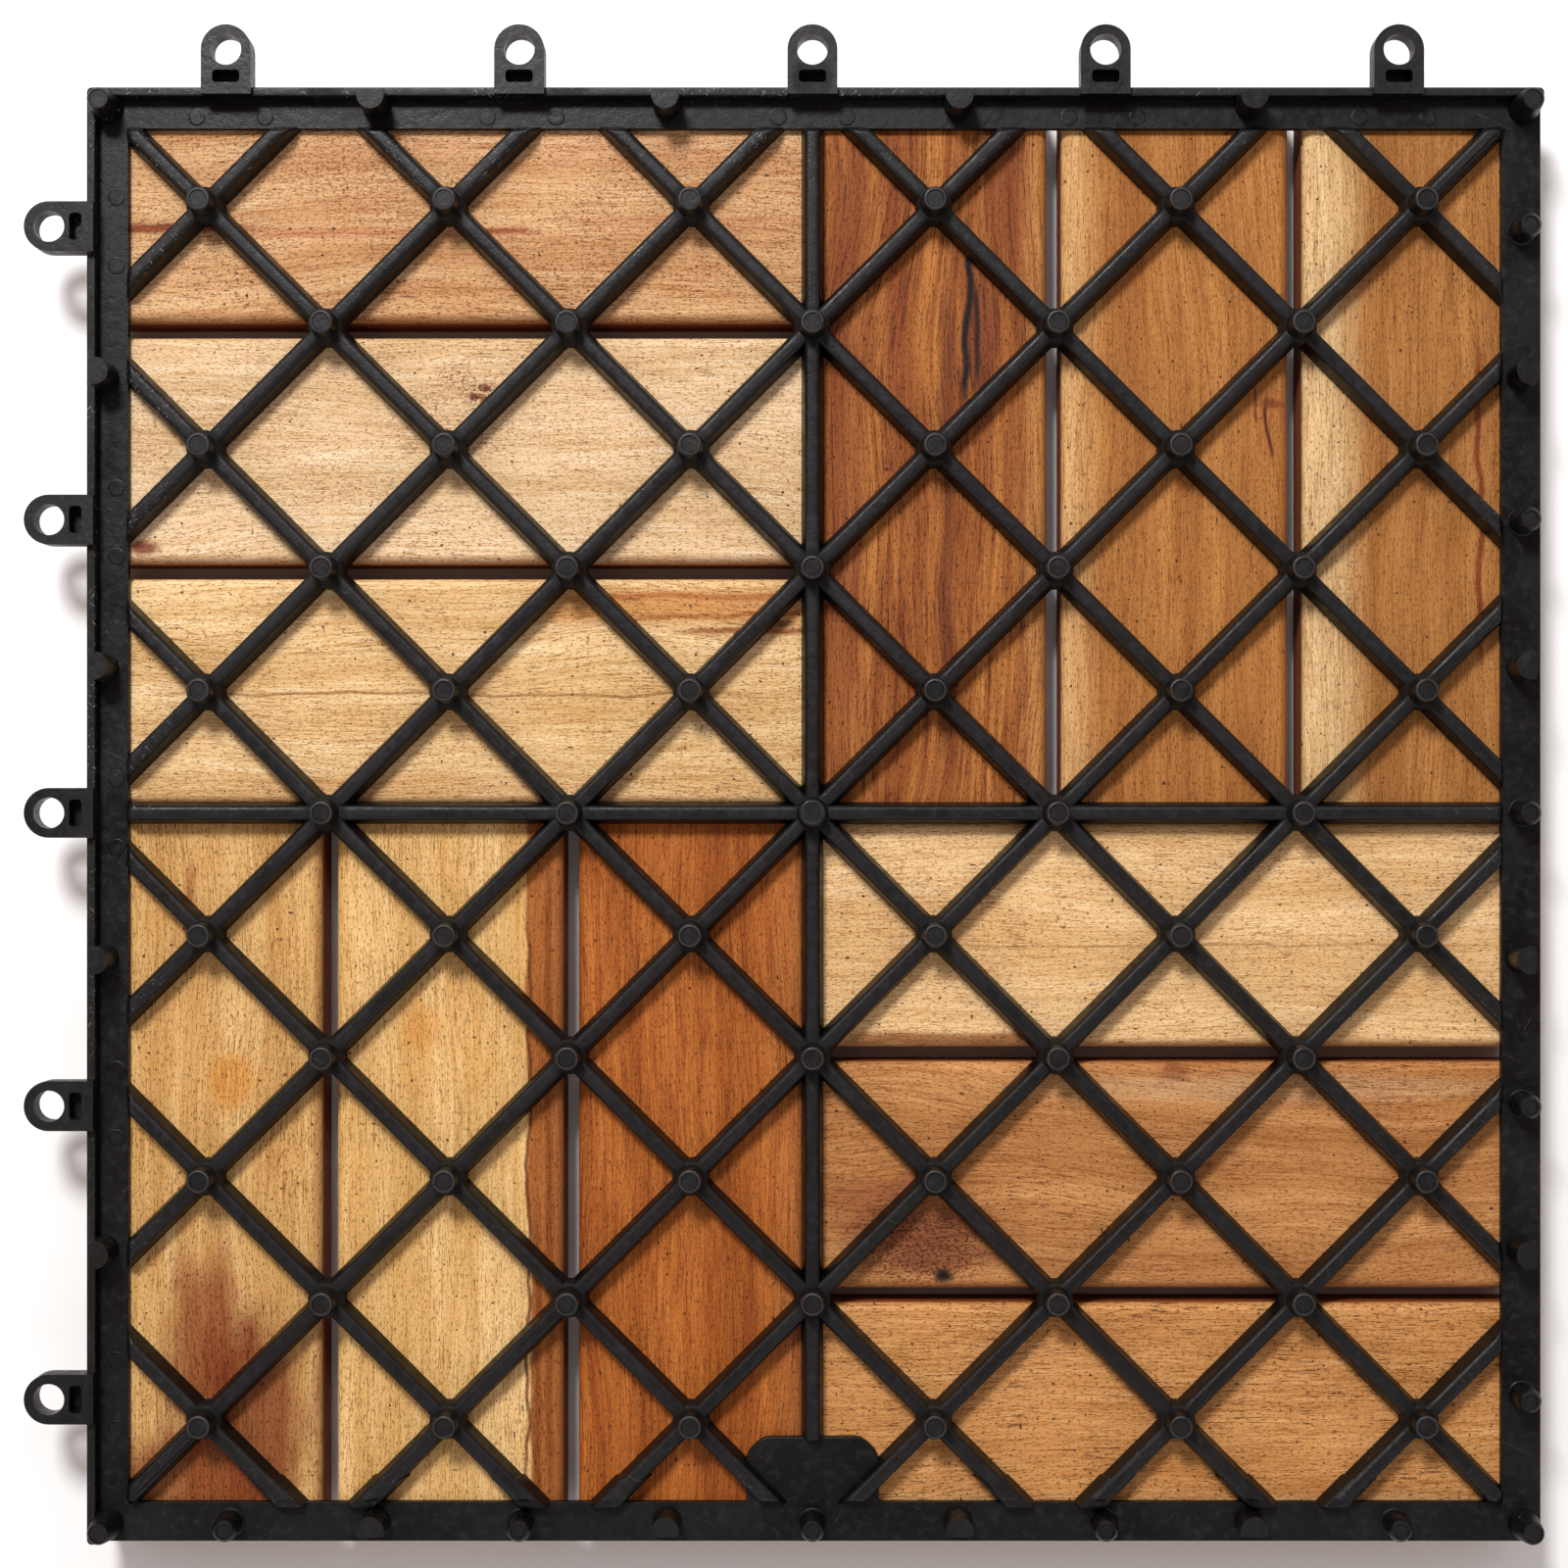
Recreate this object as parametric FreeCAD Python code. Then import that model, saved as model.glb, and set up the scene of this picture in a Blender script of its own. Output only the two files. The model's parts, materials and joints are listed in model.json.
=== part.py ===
"""Interlocking deck tile: twelve wooden slats on one moulded plastic grid.

The tile lies face down, as it is handled before laying: walking face on the ground at Z = 0, feet of the
grid up. All sizes are in millimetres. The model is drawn about the centre of the slat pattern and moved
at the end, so that its origin is the middle of its bounding box, on the ground.
"""
import FreeCAD, Part
import math
import os

Vector = FreeCAD.Vector
UP = Vector(0, 0, 1)

# Laying: one tile takes one module in each direction, with a joint between neighbouring grids.
MODULE = 300.0
JOINT_GAP = 3.3
GRID_LENGTH = MODULE - JOINT_GAP

# The grid stands out past the slats, less on the sides with loops than on the sides with pins.
LOOP_SIDE_OVERHANG = 0.4
PIN_SIDE_OVERHANG = 1.7

# Slats: two by two panels, the grain turned by a quarter from panel to panel.
SLATS_PER_PANEL = 3
SLAT_GAP = 3.0
SLAT_THICKNESS = 12.0
SLAT_EDGE_RADIUS = 2.0
SLAT_REACH = (GRID_LENGTH - LOOP_SIDE_OVERHANG - PIN_SIDE_OVERHANG) / 2
SLAT_PITCH = (SLAT_REACH + SLAT_GAP / 2) / SLATS_PER_PANEL
SLAT_WIDTH = SLAT_PITCH - SLAT_GAP
SLAT_LENGTH = SLATS_PER_PANEL * SLAT_PITCH - SLAT_GAP

# Square pegs of the grid, pressed into blind sockets in the underside of the slats.
PEG_WIDTH = 3.0
PEG_LENGTH = 6.5
PEG_CLEARANCE = 0.05
SOCKET_DEPTH = 7.0

# Heights above the underside of the slats, where the grid begins.
RAIL_HEIGHT = 1.6
RIB_HEIGHT = 4.6
FOOT_HEIGHT = 9.0
PIN_HEIGHT = 8.4
LOOP_CLEARANCE = 0.3
LOOP_THICKNESS = 4.3
DECK = SLAT_THICKNESS
GROUND_SIDE = DECK + FOOT_HEIGHT

# Ribs of the lattice, at 45 degrees, the hubs where they cross, and the eight-sided feet on the hubs.
RIB_FOOT_WIDTH = 4.6
RIB_TOP_WIDTH = 2.8
RIB_END_SLOPE = 0.75
HUB_WIDTH = 8.0
FOOT_SIDES = 8
FOOT_WIDTH = 5.0
CENTRE_FOOT_WIDTH = 5.8

# Frame of flat rails round the lattice. The sides with loops have a skirt along their outer edge.
LOOP_RAIL_WIDTH = 7.7
PIN_RAIL_WIDTH = 8.0
SKIRT_THICKNESS = 1.8
FRAME_CORNER_RADIUS = 1.0
LOOP_SIDE = SLAT_REACH + LOOP_SIDE_OVERHANG
PIN_SIDE = SLAT_REACH + PIN_SIDE_OVERHANG
LOOP_SIDE_INNER = LOOP_SIDE - LOOP_RAIL_WIDTH
PIN_SIDE_INNER = PIN_SIDE - PIN_RAIL_WIDTH

# Loops and the pins that hook into the loops of the next tile.
LINKS_PER_SIDE = 5
LINK_END_SPACE = 31.0
LINK_PITCH = (MODULE - 2 * LINK_END_SPACE) / (LINKS_PER_SIDE - 1)
LOOP_WIDTH = 10.15
LOOP_HOLE_RADIUS = 3.15
LOOP_OFFSET = 7.2
LOOP_CENTRE = LOOP_SIDE + LOOP_OFFSET
LOOP_BOTTOM = DECK + RAIL_HEIGHT + LOOP_CLEARANCE
LOOP_TOP = LOOP_BOTTOM + LOOP_THICKNESS
SLOT_LENGTH = 5.55
SLOT_WIDTH = 2.55
SLOT_DEPTH = 3.0
SLOT_CORNER = 0.8
SLOT_OFFSET = 5.4
PIN_CENTRE = MODULE - LOOP_CENTRE
PIN_RADIUS = 2.5

# Feet on the rails, between the loops or pins, and at the corners of the frame.
EDGE_FOOT_WIDTH = 5.6
EDGE_FOOT_FLAT = 1.2
EDGE_FOOT_BITE = 0.2
EDGE_FOOT_LINE = LOOP_SIDE - SKIRT_THICKNESS + EDGE_FOOT_BITE - EDGE_FOOT_FLAT
CORNER_FOOT_WIDTH = 4.4
CORNER_FOOT_ROOT = 6.8

# Gate pad, where the melt entered, between two ribs at the middle of a rail.
PAD_HALF_WIDTH = 10.2
PAD_DEPTH = 13.3

# A little more than the model, for cutting tools that have to pass right through.
BEYOND = 1.0


def prism(outline, bottom, height):
    """A straight prism over a closed outline of (x, y) points."""
    points = [Vector(x, y, bottom) for x, y in outline]
    return Part.Face(Part.makePolygon(points + points[:1])).extrude(UP * height)


def block(x_low, x_high, y_low, y_high, bottom, top):
    """A box between two corners."""
    return Part.makeBox(x_high - x_low, y_high - y_low, top - bottom, Vector(x_low, y_low, bottom))


def round_post(x, y, radius, bottom, top):
    """An upright cylinder."""
    return Part.makeCylinder(radius, top - bottom, Vector(x, y, bottom))


def foot_section(x, y, width):
    """Corners of the even-sided section of a foot, as wide as given across its flats."""
    half_turn = math.pi / FOOT_SIDES
    radius = width / 2 / math.cos(half_turn)
    angles = [(2 * side + 1) * half_turn for side in range(FOOT_SIDES)]
    return [(x + radius * math.cos(angle), y + radius * math.sin(angle)) for angle in angles]


def square_ring(grow, height):
    """The inner edge of the frame as a wire, moved outwards by grow."""
    low_x, high_x = -LOOP_SIDE_INNER - grow, PIN_SIDE_INNER + grow
    low_y, high_y = -PIN_SIDE_INNER - grow, LOOP_SIDE_INNER + grow
    corners = [(low_x, low_y), (high_x, low_y), (high_x, high_y), (low_x, high_y), (low_x, low_y)]
    return Part.makePolygon([Vector(x, y, height) for x, y in corners])


def on_both_sides(shapes):
    """Shapes drawn on the left or right side, and the same mirrored onto the top or bottom side."""
    diagonal = Vector(1, 1, 0)
    return list(shapes) + [shape.mirror(Vector(0, 0, 0), diagonal) for shape in shapes]


def centred_steps(count, pitch):
    """Places of count things at one pitch, centred on zero."""
    return [(i - (count - 1) / 2) * pitch for i in range(count)]


def rib(start, end):
    """A rib with sloping sides between two points of the lattice."""
    run = (end - start).normalize()
    across = UP.cross(run)
    rise = UP * RIB_HEIGHT
    foot = across * (RIB_FOOT_WIDTH / 2)
    top = across * (RIB_TOP_WIDTH / 2)
    base = start + UP * DECK
    section = [base - foot, base + foot, base + top + rise, base - top + rise]
    return Part.Face(Part.makePolygon(section + section[:1])).extrude(end - start)


def lattice_ribs():
    """Diagonal ribs each half module of the slats, and a cross rib under each joint of the panels."""
    far = PIN_SIDE
    order = 2 * SLATS_PER_PANEL - 1
    ribs = []
    for step in range(-order, order + 1):
        shift = step * SLAT_PITCH / 2
        reach = far - abs(shift)
        for lean in (1, -1):
            middle = Vector(shift, lean * shift, 0)
            run = Vector(reach, -lean * reach, 0)
            ribs.append(rib(middle - run, middle + run))
    ribs.append(rib(Vector(-far, 0, 0), Vector(far, 0, 0)))
    ribs.append(rib(Vector(0, PAD_DEPTH - PIN_SIDE_INNER, 0), Vector(0, far, 0)))
    return ribs


def rib_limit():
    """The space that the ribs fill: they slope down to the rails at their ends."""
    slope = RIB_HEIGHT * RIB_END_SLOPE
    low = square_ring(slope / 2, DECK)
    high = square_ring(-slope / 2, DECK + RIB_HEIGHT)
    return Part.makeLoft([low, high], True, True)


def slat_lines():
    """Distances of the centre lines of the slats from the centre of the tile."""
    return centred_steps(2 * SLATS_PER_PANEL, SLAT_PITCH)


def lattice_nodes():
    """Where the diagonal ribs cross: on the centre lines of the slats, and over the gaps between them."""
    lines = slat_lines()
    gaps = centred_steps(2 * SLATS_PER_PANEL - 1, SLAT_PITCH)
    return [(x, y) for x in lines for y in lines] + [(x, y) for x in gaps for y in gaps]


def node_post(x, y):
    """A square hub that fills the corners between the ribs, and the foot standing on it."""
    middle = math.hypot(x, y) < SLAT_GAP
    width = CENTRE_FOOT_WIDTH if middle else FOOT_WIDTH
    half = HUB_WIDTH / 2
    hub = block(x - half, x + half, y - half, y + half, DECK, DECK + RIB_HEIGHT)
    return hub.fuse(prism(foot_section(x, y, width), DECK, FOOT_HEIGHT))


def tile_plate(height):
    """A plate over the whole frame, with rounded corners."""
    plate = block(-LOOP_SIDE, PIN_SIDE, -PIN_SIDE, LOOP_SIDE, DECK, DECK + height)
    uprights = [edge for edge in plate.Edges if abs(edge.tangentAt(edge.FirstParameter).z) > 0.5]
    return plate.makeFillet(FRAME_CORNER_RADIUS, uprights)


def frame():
    """Flat rails round the lattice, and the skirt that stands on the two outer edges with loops."""
    window = Part.Face(square_ring(0, DECK - BEYOND)).extrude(UP * (RAIL_HEIGHT + 2 * BEYOND))
    inside = SKIRT_THICKNESS - LOOP_SIDE
    beyond = PIN_SIDE + BEYOND
    yard = block(inside, beyond, -beyond, -inside, DECK - BEYOND, DECK + RIB_HEIGHT + BEYOND)
    return tile_plate(RAIL_HEIGHT).cut(window).fuse(tile_plate(RIB_HEIGHT).cut(yard))


def loop(y):
    """A loop that reaches out from the skirt: round end, hole for a pin and a blind slot behind it."""
    half = LOOP_WIDTH / 2
    x_root = SKIRT_THICKNESS - LOOP_SIDE
    arm = block(-LOOP_CENTRE, x_root, y - half, y + half, LOOP_BOTTOM, LOOP_TOP)
    eye = round_post(-LOOP_CENTRE, y, half, LOOP_BOTTOM, LOOP_TOP)
    hole = round_post(-LOOP_CENTRE, y, LOOP_HOLE_RADIUS, LOOP_BOTTOM - BEYOND, LOOP_TOP + BEYOND)
    return arm.fuse(eye).cut([hole, loop_slot(y)])


def loop_slot(y):
    """The blind slot in the arm of a loop, with cut corners."""
    x = SLOT_OFFSET - LOOP_CENTRE
    dx, dy, c = SLOT_WIDTH / 2, SLOT_LENGTH / 2, SLOT_CORNER
    right = [(x + dx - c, y - dy), (x + dx, y - dy + c), (x + dx, y + dy - c), (x + dx - c, y + dy)]
    left = [(2 * x - px, py) for px, py in reversed(right)]
    return prism(right + left, LOOP_TOP - SLOT_DEPTH, SLOT_DEPTH + BEYOND)


def pin(y):
    """A pin on the rail opposite the loops."""
    return round_post(PIN_CENTRE, y, PIN_RADIUS, DECK + RAIL_HEIGHT / 2, DECK + PIN_HEIGHT)


def edge_foot(side, y):
    """A foot on a rail, cut flat towards the outside. side is -1 on the left, 1 on the right."""
    x = side * EDGE_FOOT_LINE
    bottom = DECK + RAIL_HEIGHT / 2
    post = prism(foot_section(x, y, EDGE_FOOT_WIDTH), bottom, GROUND_SIDE - bottom)
    flat = x + side * EDGE_FOOT_FLAT
    low, high = sorted((flat, flat + side * EDGE_FOOT_WIDTH))
    waste = block(low, high, y - EDGE_FOOT_WIDTH, y + EDGE_FOOT_WIDTH, DECK, GROUND_SIDE + BEYOND)
    return post.cut(waste)


def corner_foot(x_side, y_side, x_reach, y_reach):
    """A tapered foot at a corner of the frame, its root flush with the outer edges."""
    x = x_side * (x_reach - CORNER_FOOT_ROOT / 2)
    y = y_side * (y_reach - CORNER_FOOT_ROOT / 2)
    ends = []
    for width, height in ((CORNER_FOOT_ROOT, DECK + RAIL_HEIGHT / 2), (CORNER_FOOT_WIDTH, GROUND_SIDE)):
        points = [Vector(px, py, height) for px, py in foot_section(x, y, width)]
        ends.append(Part.makePolygon(points + points[:1]))
    return Part.makeLoft(ends, True, True)


def gate_pad():
    """The plate between two ribs at the middle of the bottom rail, flush with the rail."""
    top = PAD_DEPTH - PIN_SIDE_INNER
    rib_sum = -SLATS_PER_PANEL * SLAT_PITCH
    slide = (-PAD_HALF_WIDTH + top - rib_sum) / 2
    shoulder = -PAD_HALF_WIDTH - slide, top - slide
    root_y = -PIN_SIDE_INNER - RIB_FOOT_WIDTH / 2
    root = rib_sum - root_y, root_y
    left = [root, shoulder, (-PAD_HALF_WIDTH, top)]
    right = [(-x, y) for x, y in reversed(left)]
    return prism(left + right, DECK, RAIL_HEIGHT)


def peg_places():
    """Two pegs to a slat, on the nodes nearest its ends."""
    lines = slat_lines()
    places = []
    for panel_x, panel_y, along_x in panels():
        steps = lines[:SLATS_PER_PANEL] if panel_x < 0 else lines[SLATS_PER_PANEL:]
        rows = lines[:SLATS_PER_PANEL] if panel_y < 0 else lines[SLATS_PER_PANEL:]
        for x in steps:
            for y in rows:
                on_end = x in (steps[0], steps[-1]) if along_x else y in (rows[0], rows[-1])
                if on_end:
                    places.append((x, y))
    return places


def peg(x, y):
    """A square peg under a hub."""
    half = PEG_WIDTH / 2
    return block(x - half, x + half, y - half, y + half, DECK - PEG_LENGTH, DECK + RAIL_HEIGHT)


def lattice():
    """Ribs, hubs and feet in one solid, with their ends ready to run into the rails."""
    limit = rib_limit()
    ribs = [piece.common(limit) for piece in lattice_ribs()]
    posts = [node_post(x, y) for x, y in lattice_nodes()]
    return ribs[0].fuse(ribs[1:] + posts).removeSplitter()


def grid():
    """The whole moulded grid in one solid."""
    links = centred_steps(LINKS_PER_SIDE, LINK_PITCH)
    between = centred_steps(LINKS_PER_SIDE - 1, LINK_PITCH)
    sides = [loop(y) for y in links]
    sides += [pin(y) for y in links]
    sides += [edge_foot(side, y) for side in (-1, 1) for y in between]
    pieces = [lattice(), gate_pad()] + on_both_sides(sides)
    pieces += [corner_foot(-1, 1, LOOP_SIDE, LOOP_SIDE), corner_foot(1, -1, PIN_SIDE, PIN_SIDE)]
    pieces += [corner_foot(-1, -1, LOOP_SIDE, PIN_SIDE), corner_foot(1, 1, PIN_SIDE, LOOP_SIDE)]
    pieces += [peg(x, y) for x, y in peg_places()]
    return frame().fuse(pieces).removeSplitter()


def panels():
    """The four panels: the side of the centre that each lies on, and whether its slats run along X."""
    return [(-1, 1, True), (1, 1, False), (-1, -1, False), (1, -1, True)]


def slat(x, y, along_x):
    """One slat with rounded long edges and the two sockets for its pegs."""
    half = SLAT_LENGTH / 2, SLAT_WIDTH / 2
    body = block(-half[0], half[0], -half[1], half[1], 0, SLAT_THICKNESS)
    long_edges = [edge for edge in body.Edges if abs(edge.tangentAt(edge.FirstParameter).x) > 0.5]
    body = body.makeFillet(SLAT_EDGE_RADIUS, long_edges)
    to_peg = (SLATS_PER_PANEL - 1) / 2 * SLAT_PITCH
    side = PEG_WIDTH / 2 + PEG_CLEARANCE
    floor = SLAT_THICKNESS - SOCKET_DEPTH
    for px in (-to_peg, to_peg):
        body = body.cut(block(px - side, px + side, -side, side, floor, SLAT_THICKNESS + BEYOND))
    if not along_x:
        body.rotate(Vector(0, 0, 0), UP, 90)
    body.translate(Vector(x, y, 0))
    return body


def slats():
    """The twelve slats by name, each panel counted from the left or from the top."""
    middle = SLATS_PER_PANEL * SLAT_PITCH / 2
    names = {(-1, 1): "top_left", (1, 1): "top_right", (-1, -1): "bottom_left", (1, -1): "bottom_right"}
    made = {}
    for side_x, side_y, along_x in panels():
        steps = centred_steps(SLATS_PER_PANEL, SLAT_PITCH)
        for number, step in enumerate(steps, 1):
            x = side_x * middle + (0 if along_x else step)
            y = side_y * middle - (step if along_x else 0)
            made[f"slat_{names[side_x, side_y]}_{number}"] = slat(x, y, along_x)
    return made


def main():
    os.makedirs("parts", exist_ok=True)
    shapes = {"moulded_grid": grid()}
    shapes.update(slats())
    reach_out = LOOP_CENTRE + LOOP_WIDTH / 2
    to_origin = Vector((reach_out - PIN_SIDE) / 2, (PIN_SIDE - reach_out) / 2, 0)
    for name, shape in shapes.items():
        shape.translate(to_origin)
        shape.exportStep(f"parts/{name}.step")
        box = shape.BoundBox
        sizes = f"{box.XLength:.2f} x {box.YLength:.2f} x {box.ZLength:.2f}"
        print(name, len(shape.Solids), "solid,", sizes, "valid" if shape.isValid() else "NOT VALID")


main()
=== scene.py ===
# %% [markdown]
# Interlocking deck tile, seen from its underside
#
# The real tile is twelve planed wooden slats on one grid of black moulded plastic. It lies face down here,
# as it does before it is laid: the feet of the grid point up, the walking face is on the ground. This
# lesson dresses the construction model: the grid and the slats are modelled again with the small round
# edges, dished feet and sloping sides that catch the light, and each slat gets its own board of wood.

# %% Load the frame
import json
import math

import bmesh
import bpy
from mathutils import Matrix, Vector


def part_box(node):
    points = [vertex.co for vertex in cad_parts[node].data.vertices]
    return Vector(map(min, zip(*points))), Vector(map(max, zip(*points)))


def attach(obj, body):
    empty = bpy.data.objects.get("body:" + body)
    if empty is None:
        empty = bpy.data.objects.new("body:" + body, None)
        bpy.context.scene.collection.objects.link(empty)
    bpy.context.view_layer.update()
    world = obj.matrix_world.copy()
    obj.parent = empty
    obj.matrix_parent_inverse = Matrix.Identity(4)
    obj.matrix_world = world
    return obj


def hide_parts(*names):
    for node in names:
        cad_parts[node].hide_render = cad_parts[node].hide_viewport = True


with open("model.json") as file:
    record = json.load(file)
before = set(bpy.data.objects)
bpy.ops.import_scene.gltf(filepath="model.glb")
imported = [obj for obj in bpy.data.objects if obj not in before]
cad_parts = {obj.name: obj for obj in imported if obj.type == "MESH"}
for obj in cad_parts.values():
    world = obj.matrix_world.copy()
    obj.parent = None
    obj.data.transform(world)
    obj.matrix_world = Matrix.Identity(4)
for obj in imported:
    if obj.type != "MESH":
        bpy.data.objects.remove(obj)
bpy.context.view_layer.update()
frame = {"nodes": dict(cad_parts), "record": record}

# %% [markdown]
# Places from the frame
#
# Modelling in millimetres keeps the numbers readable, and it keeps small edges well above the distances at
# which mesh tools merge points. The grid is drawn about the crossing in the middle of the tile, and it is
# moved to its place in metres at the end. The places of the loops, pins and slats come from the frame, so
# the visible tile can't drift away from the construction.

# %% Places from the frame
MM = 0.001
mounts = {mount["name"]: mount for mount in frame["record"]["mounts"]}
middle_x, middle_y, feet_z = (c / MM for c in mounts["feet"]["pos_m"])
slat_boxes = {name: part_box(name) for name in frame["nodes"] if name.startswith("slat_")}
deck_z = max(high[2] for low, high in slat_boxes.values()) / MM
grid_low = [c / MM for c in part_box("moulded_grid")[0]]


def mount_place(name):
    """A mount's distance from the middle of the tile, in millimetres."""
    x, y, z = (c / MM for c in mounts[name]["pos_m"])
    return x - middle_x, y - middle_y, z


LINKS = 5
link_pitch = mounts["left_outer_loops"]["dims"]["spacing_y_mm"] / (LINKS - 1)
link_steps = [(i - (LINKS - 1) / 2) * link_pitch for i in range(LINKS)]
between_steps = [(i - (LINKS - 2) / 2) * link_pitch for i in range(LINKS - 1)]
loop_centre = -mount_place("left_middle_loop")[0]
loop_mid_z = mount_place("left_middle_loop")[2]
loop_thickness = mounts["left_middle_loop"]["dims"]["length_mm"]
loop_hole = mounts["left_middle_loop"]["dims"]["r_mm"]
pin_centre = mount_place("right_pin_1")[0]
pin_radius = mounts["right_pin_1"]["dims"]["r_mm"]
pin_top = mount_place("right_pin_1")[2] + mounts["right_pin_1"]["dims"]["length_mm"] / 2
rail_top = pin_top - mounts["right_pin_1"]["dims"]["length_mm"]
loop_half = -grid_low[0] + middle_x - loop_centre
loop_bottom, loop_top = loop_mid_z - loop_thickness / 2, loop_mid_z + loop_thickness / 2
print("deck at", round(deck_z, 2), "feet at", round(feet_z, 2), "loops at", round(loop_centre, 2), "mm")

# %% [markdown]
# The camera
#
# The photograph looks straight down on the middle of the tile, so the walls of the far feet lean outwards.
# The middle crossing sits a little right of and below the middle of the picture. A small lens shift does
# that without tilting the view, which would bend the square.

# %% The camera
PHOTO_SIZE = 1600
MIDDLE_IN_PHOTO = (829.0, 829.5)
FOCAL_PIXELS = 2545.0
CAMERA_ABOVE_DECK = 512.0
SENSOR = 36.0

bpy.ops.object.select_all(action="DESELECT")
camera_place = (middle_x * MM, middle_y * MM, (deck_z + CAMERA_ABOVE_DECK) * MM)
bpy.ops.object.camera_add(location=camera_place, rotation=(0, 0, 0))
camera = bpy.context.object
camera.name = "photo_camera"
camera.data.sensor_width = SENSOR
camera.data.lens = FOCAL_PIXELS / PHOTO_SIZE * SENSOR
camera.data.shift_x = (PHOTO_SIZE / 2 - MIDDLE_IN_PHOTO[0]) / PHOTO_SIZE
camera.data.shift_y = (MIDDLE_IN_PHOTO[1] - PHOTO_SIZE / 2) / PHOTO_SIZE
camera.data.clip_start = 0.01
bpy.context.scene.camera = camera
print("lens", round(camera.data.lens, 2), "mm at", round(camera_place[2], 3), "m")

# %% [markdown]
# Floor and light
#
# The tile was photographed on white. Its shadows are soft and fall downwards and a little to the right,
# somewhat shorter than the feet are high. One lamp from the top gives them, and a pale room does the rest.
# The room is bright in front and behind, and a dark brown to the sides and right above the tile, where the
# camera hangs. So the level faces of the black plastic mirror a dark ceiling, and only rounded edges catch
# the light. The ground shows pale through the gaps that run towards the light, and stays brown in the gaps
# that run across it.

# %% Floor and light
FLOOR_SIZE = 6.0
FLOOR_PALE = 0.94
FLOOR_ROUGHNESS = 0.9
FLOOR_DROP = 0.0002
LAMP_DIRECTION = (-0.24, 0.64, 0.82)
LAMP_DISTANCE = 1.3
LAMP_SIZE = 0.3
LAMP_POWER = 16.0
ROOM_LIGHT = (0.82, 0.82, 0.82, 1)
SHADE_LIGHT = (0.185, 0.10, 0.07, 1)
SHADE_ENDS, WINDOW_STARTS = 0.1, 0.6


def flat_material(name, colour, roughness):
    """A plain material for the stage."""
    material = bpy.data.materials.new(name)
    material.use_nodes = True
    shader = material.node_tree.nodes["Principled BSDF"]
    shader.inputs["Base Color"].default_value = (*colour, 1)
    shader.inputs["Roughness"].default_value = roughness
    return material


bpy.ops.mesh.primitive_plane_add(size=FLOOR_SIZE, location=(0, 0, -FLOOR_DROP))
floor = bpy.context.object
floor.name = "pale_floor"
floor.data.materials.append(flat_material("pale_floor", (FLOOR_PALE,) * 3, FLOOR_ROUGHNESS))

lamp_place = [c * LAMP_DISTANCE / math.hypot(*LAMP_DIRECTION) for c in LAMP_DIRECTION]
bpy.ops.object.light_add(type="AREA", location=lamp_place)
lamp = bpy.context.object
lamp.name = "window_lamp"
lamp.data.shape = "DISK"
lamp.data.size = LAMP_SIZE
lamp.data.energy = LAMP_POWER
lamp.rotation_euler = (-lamp.location).to_track_quat("-Z", "Y").to_euler()

world = bpy.data.worlds.new("pale_room")
bpy.context.scene.world = world
world.use_nodes = True
sky = world.node_tree
direction = sky.nodes.new("ShaderNodeSeparateXYZ")
sky.links.new(sky.nodes.new("ShaderNodeTexCoord").outputs["Generated"], direction.inputs["Vector"])
towards_window = sky.nodes.new("ShaderNodeMath")
towards_window.operation = "ABSOLUTE"
sky.links.new(direction.outputs["Y"], towards_window.inputs[0])
room = sky.nodes.new("ShaderNodeMapRange")
room.interpolation_type = "SMOOTHSTEP"
sky.links.new(towards_window.outputs[0], room.inputs["Value"])
room.inputs["From Min"].default_value = SHADE_ENDS
room.inputs["From Max"].default_value = WINDOW_STARTS
walls = sky.nodes.new("ShaderNodeMix")
walls.data_type = "RGBA"
sky.links.new(room.outputs["Result"], walls.inputs[0])
walls.inputs[6].default_value = SHADE_LIGHT
walls.inputs[7].default_value = ROOM_LIGHT
sky.links.new(walls.outputs[2], sky.nodes["Background"].inputs["Color"])
bpy.context.scene.view_settings.view_transform = "Standard"
print("lamp at", [round(c, 2) for c in lamp_place])

# %% [markdown]
# Helpers for modelling by hand
#
# Operators act on what is selected, so every step starts from a known selection. `only` selects one object,
# and `pick` selects faces or edges of it by a rule about their place. `round_edges` rounds the edges that a
# rule picks, and `soften` all those that are sharper than an angle, as on the worn edges of a moulding.

# %% Selecting and shaping
def only(*objects):
    """Select just these objects; the first is active."""
    if bpy.context.object and bpy.context.object.mode != "OBJECT":
        bpy.ops.object.mode_set(mode="OBJECT")
    bpy.ops.object.select_all(action="DESELECT")
    for obj in objects:
        obj.select_set(True)
    bpy.context.view_layer.objects.active = objects[0]


def pick(obj, rule, kind="faces"):
    """Go into edit mode and select the faces or edges for which rule(centre, direction) is true."""
    only(obj)
    bpy.ops.object.mode_set(mode="EDIT")
    bpy.ops.mesh.select_all(action="DESELECT")
    bpy.ops.mesh.select_mode(type="FACE" if kind == "faces" else "EDGE")
    mesh = bmesh.from_edit_mesh(obj.data)
    for part in mesh.faces if kind == "faces" else mesh.edges:
        if kind == "faces":
            place, direction = part.calc_center_median(), part.normal
        else:
            start, end = (vert.co for vert in part.verts)
            place, direction = (start + end) / 2, (end - start).normalized()
        part.select_set(rule(place, direction))
    bmesh.update_edit_mesh(obj.data)


def leave_edit():
    """Back to object mode."""
    bpy.ops.object.mode_set(mode="OBJECT")


def round_edges(obj, width, segments, rule):
    """Round the edges for which rule(centre, direction) is true."""
    pick(obj, rule, "edges")
    bpy.ops.mesh.bevel(offset=width, segments=segments, affect="EDGES")
    leave_edit()


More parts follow.
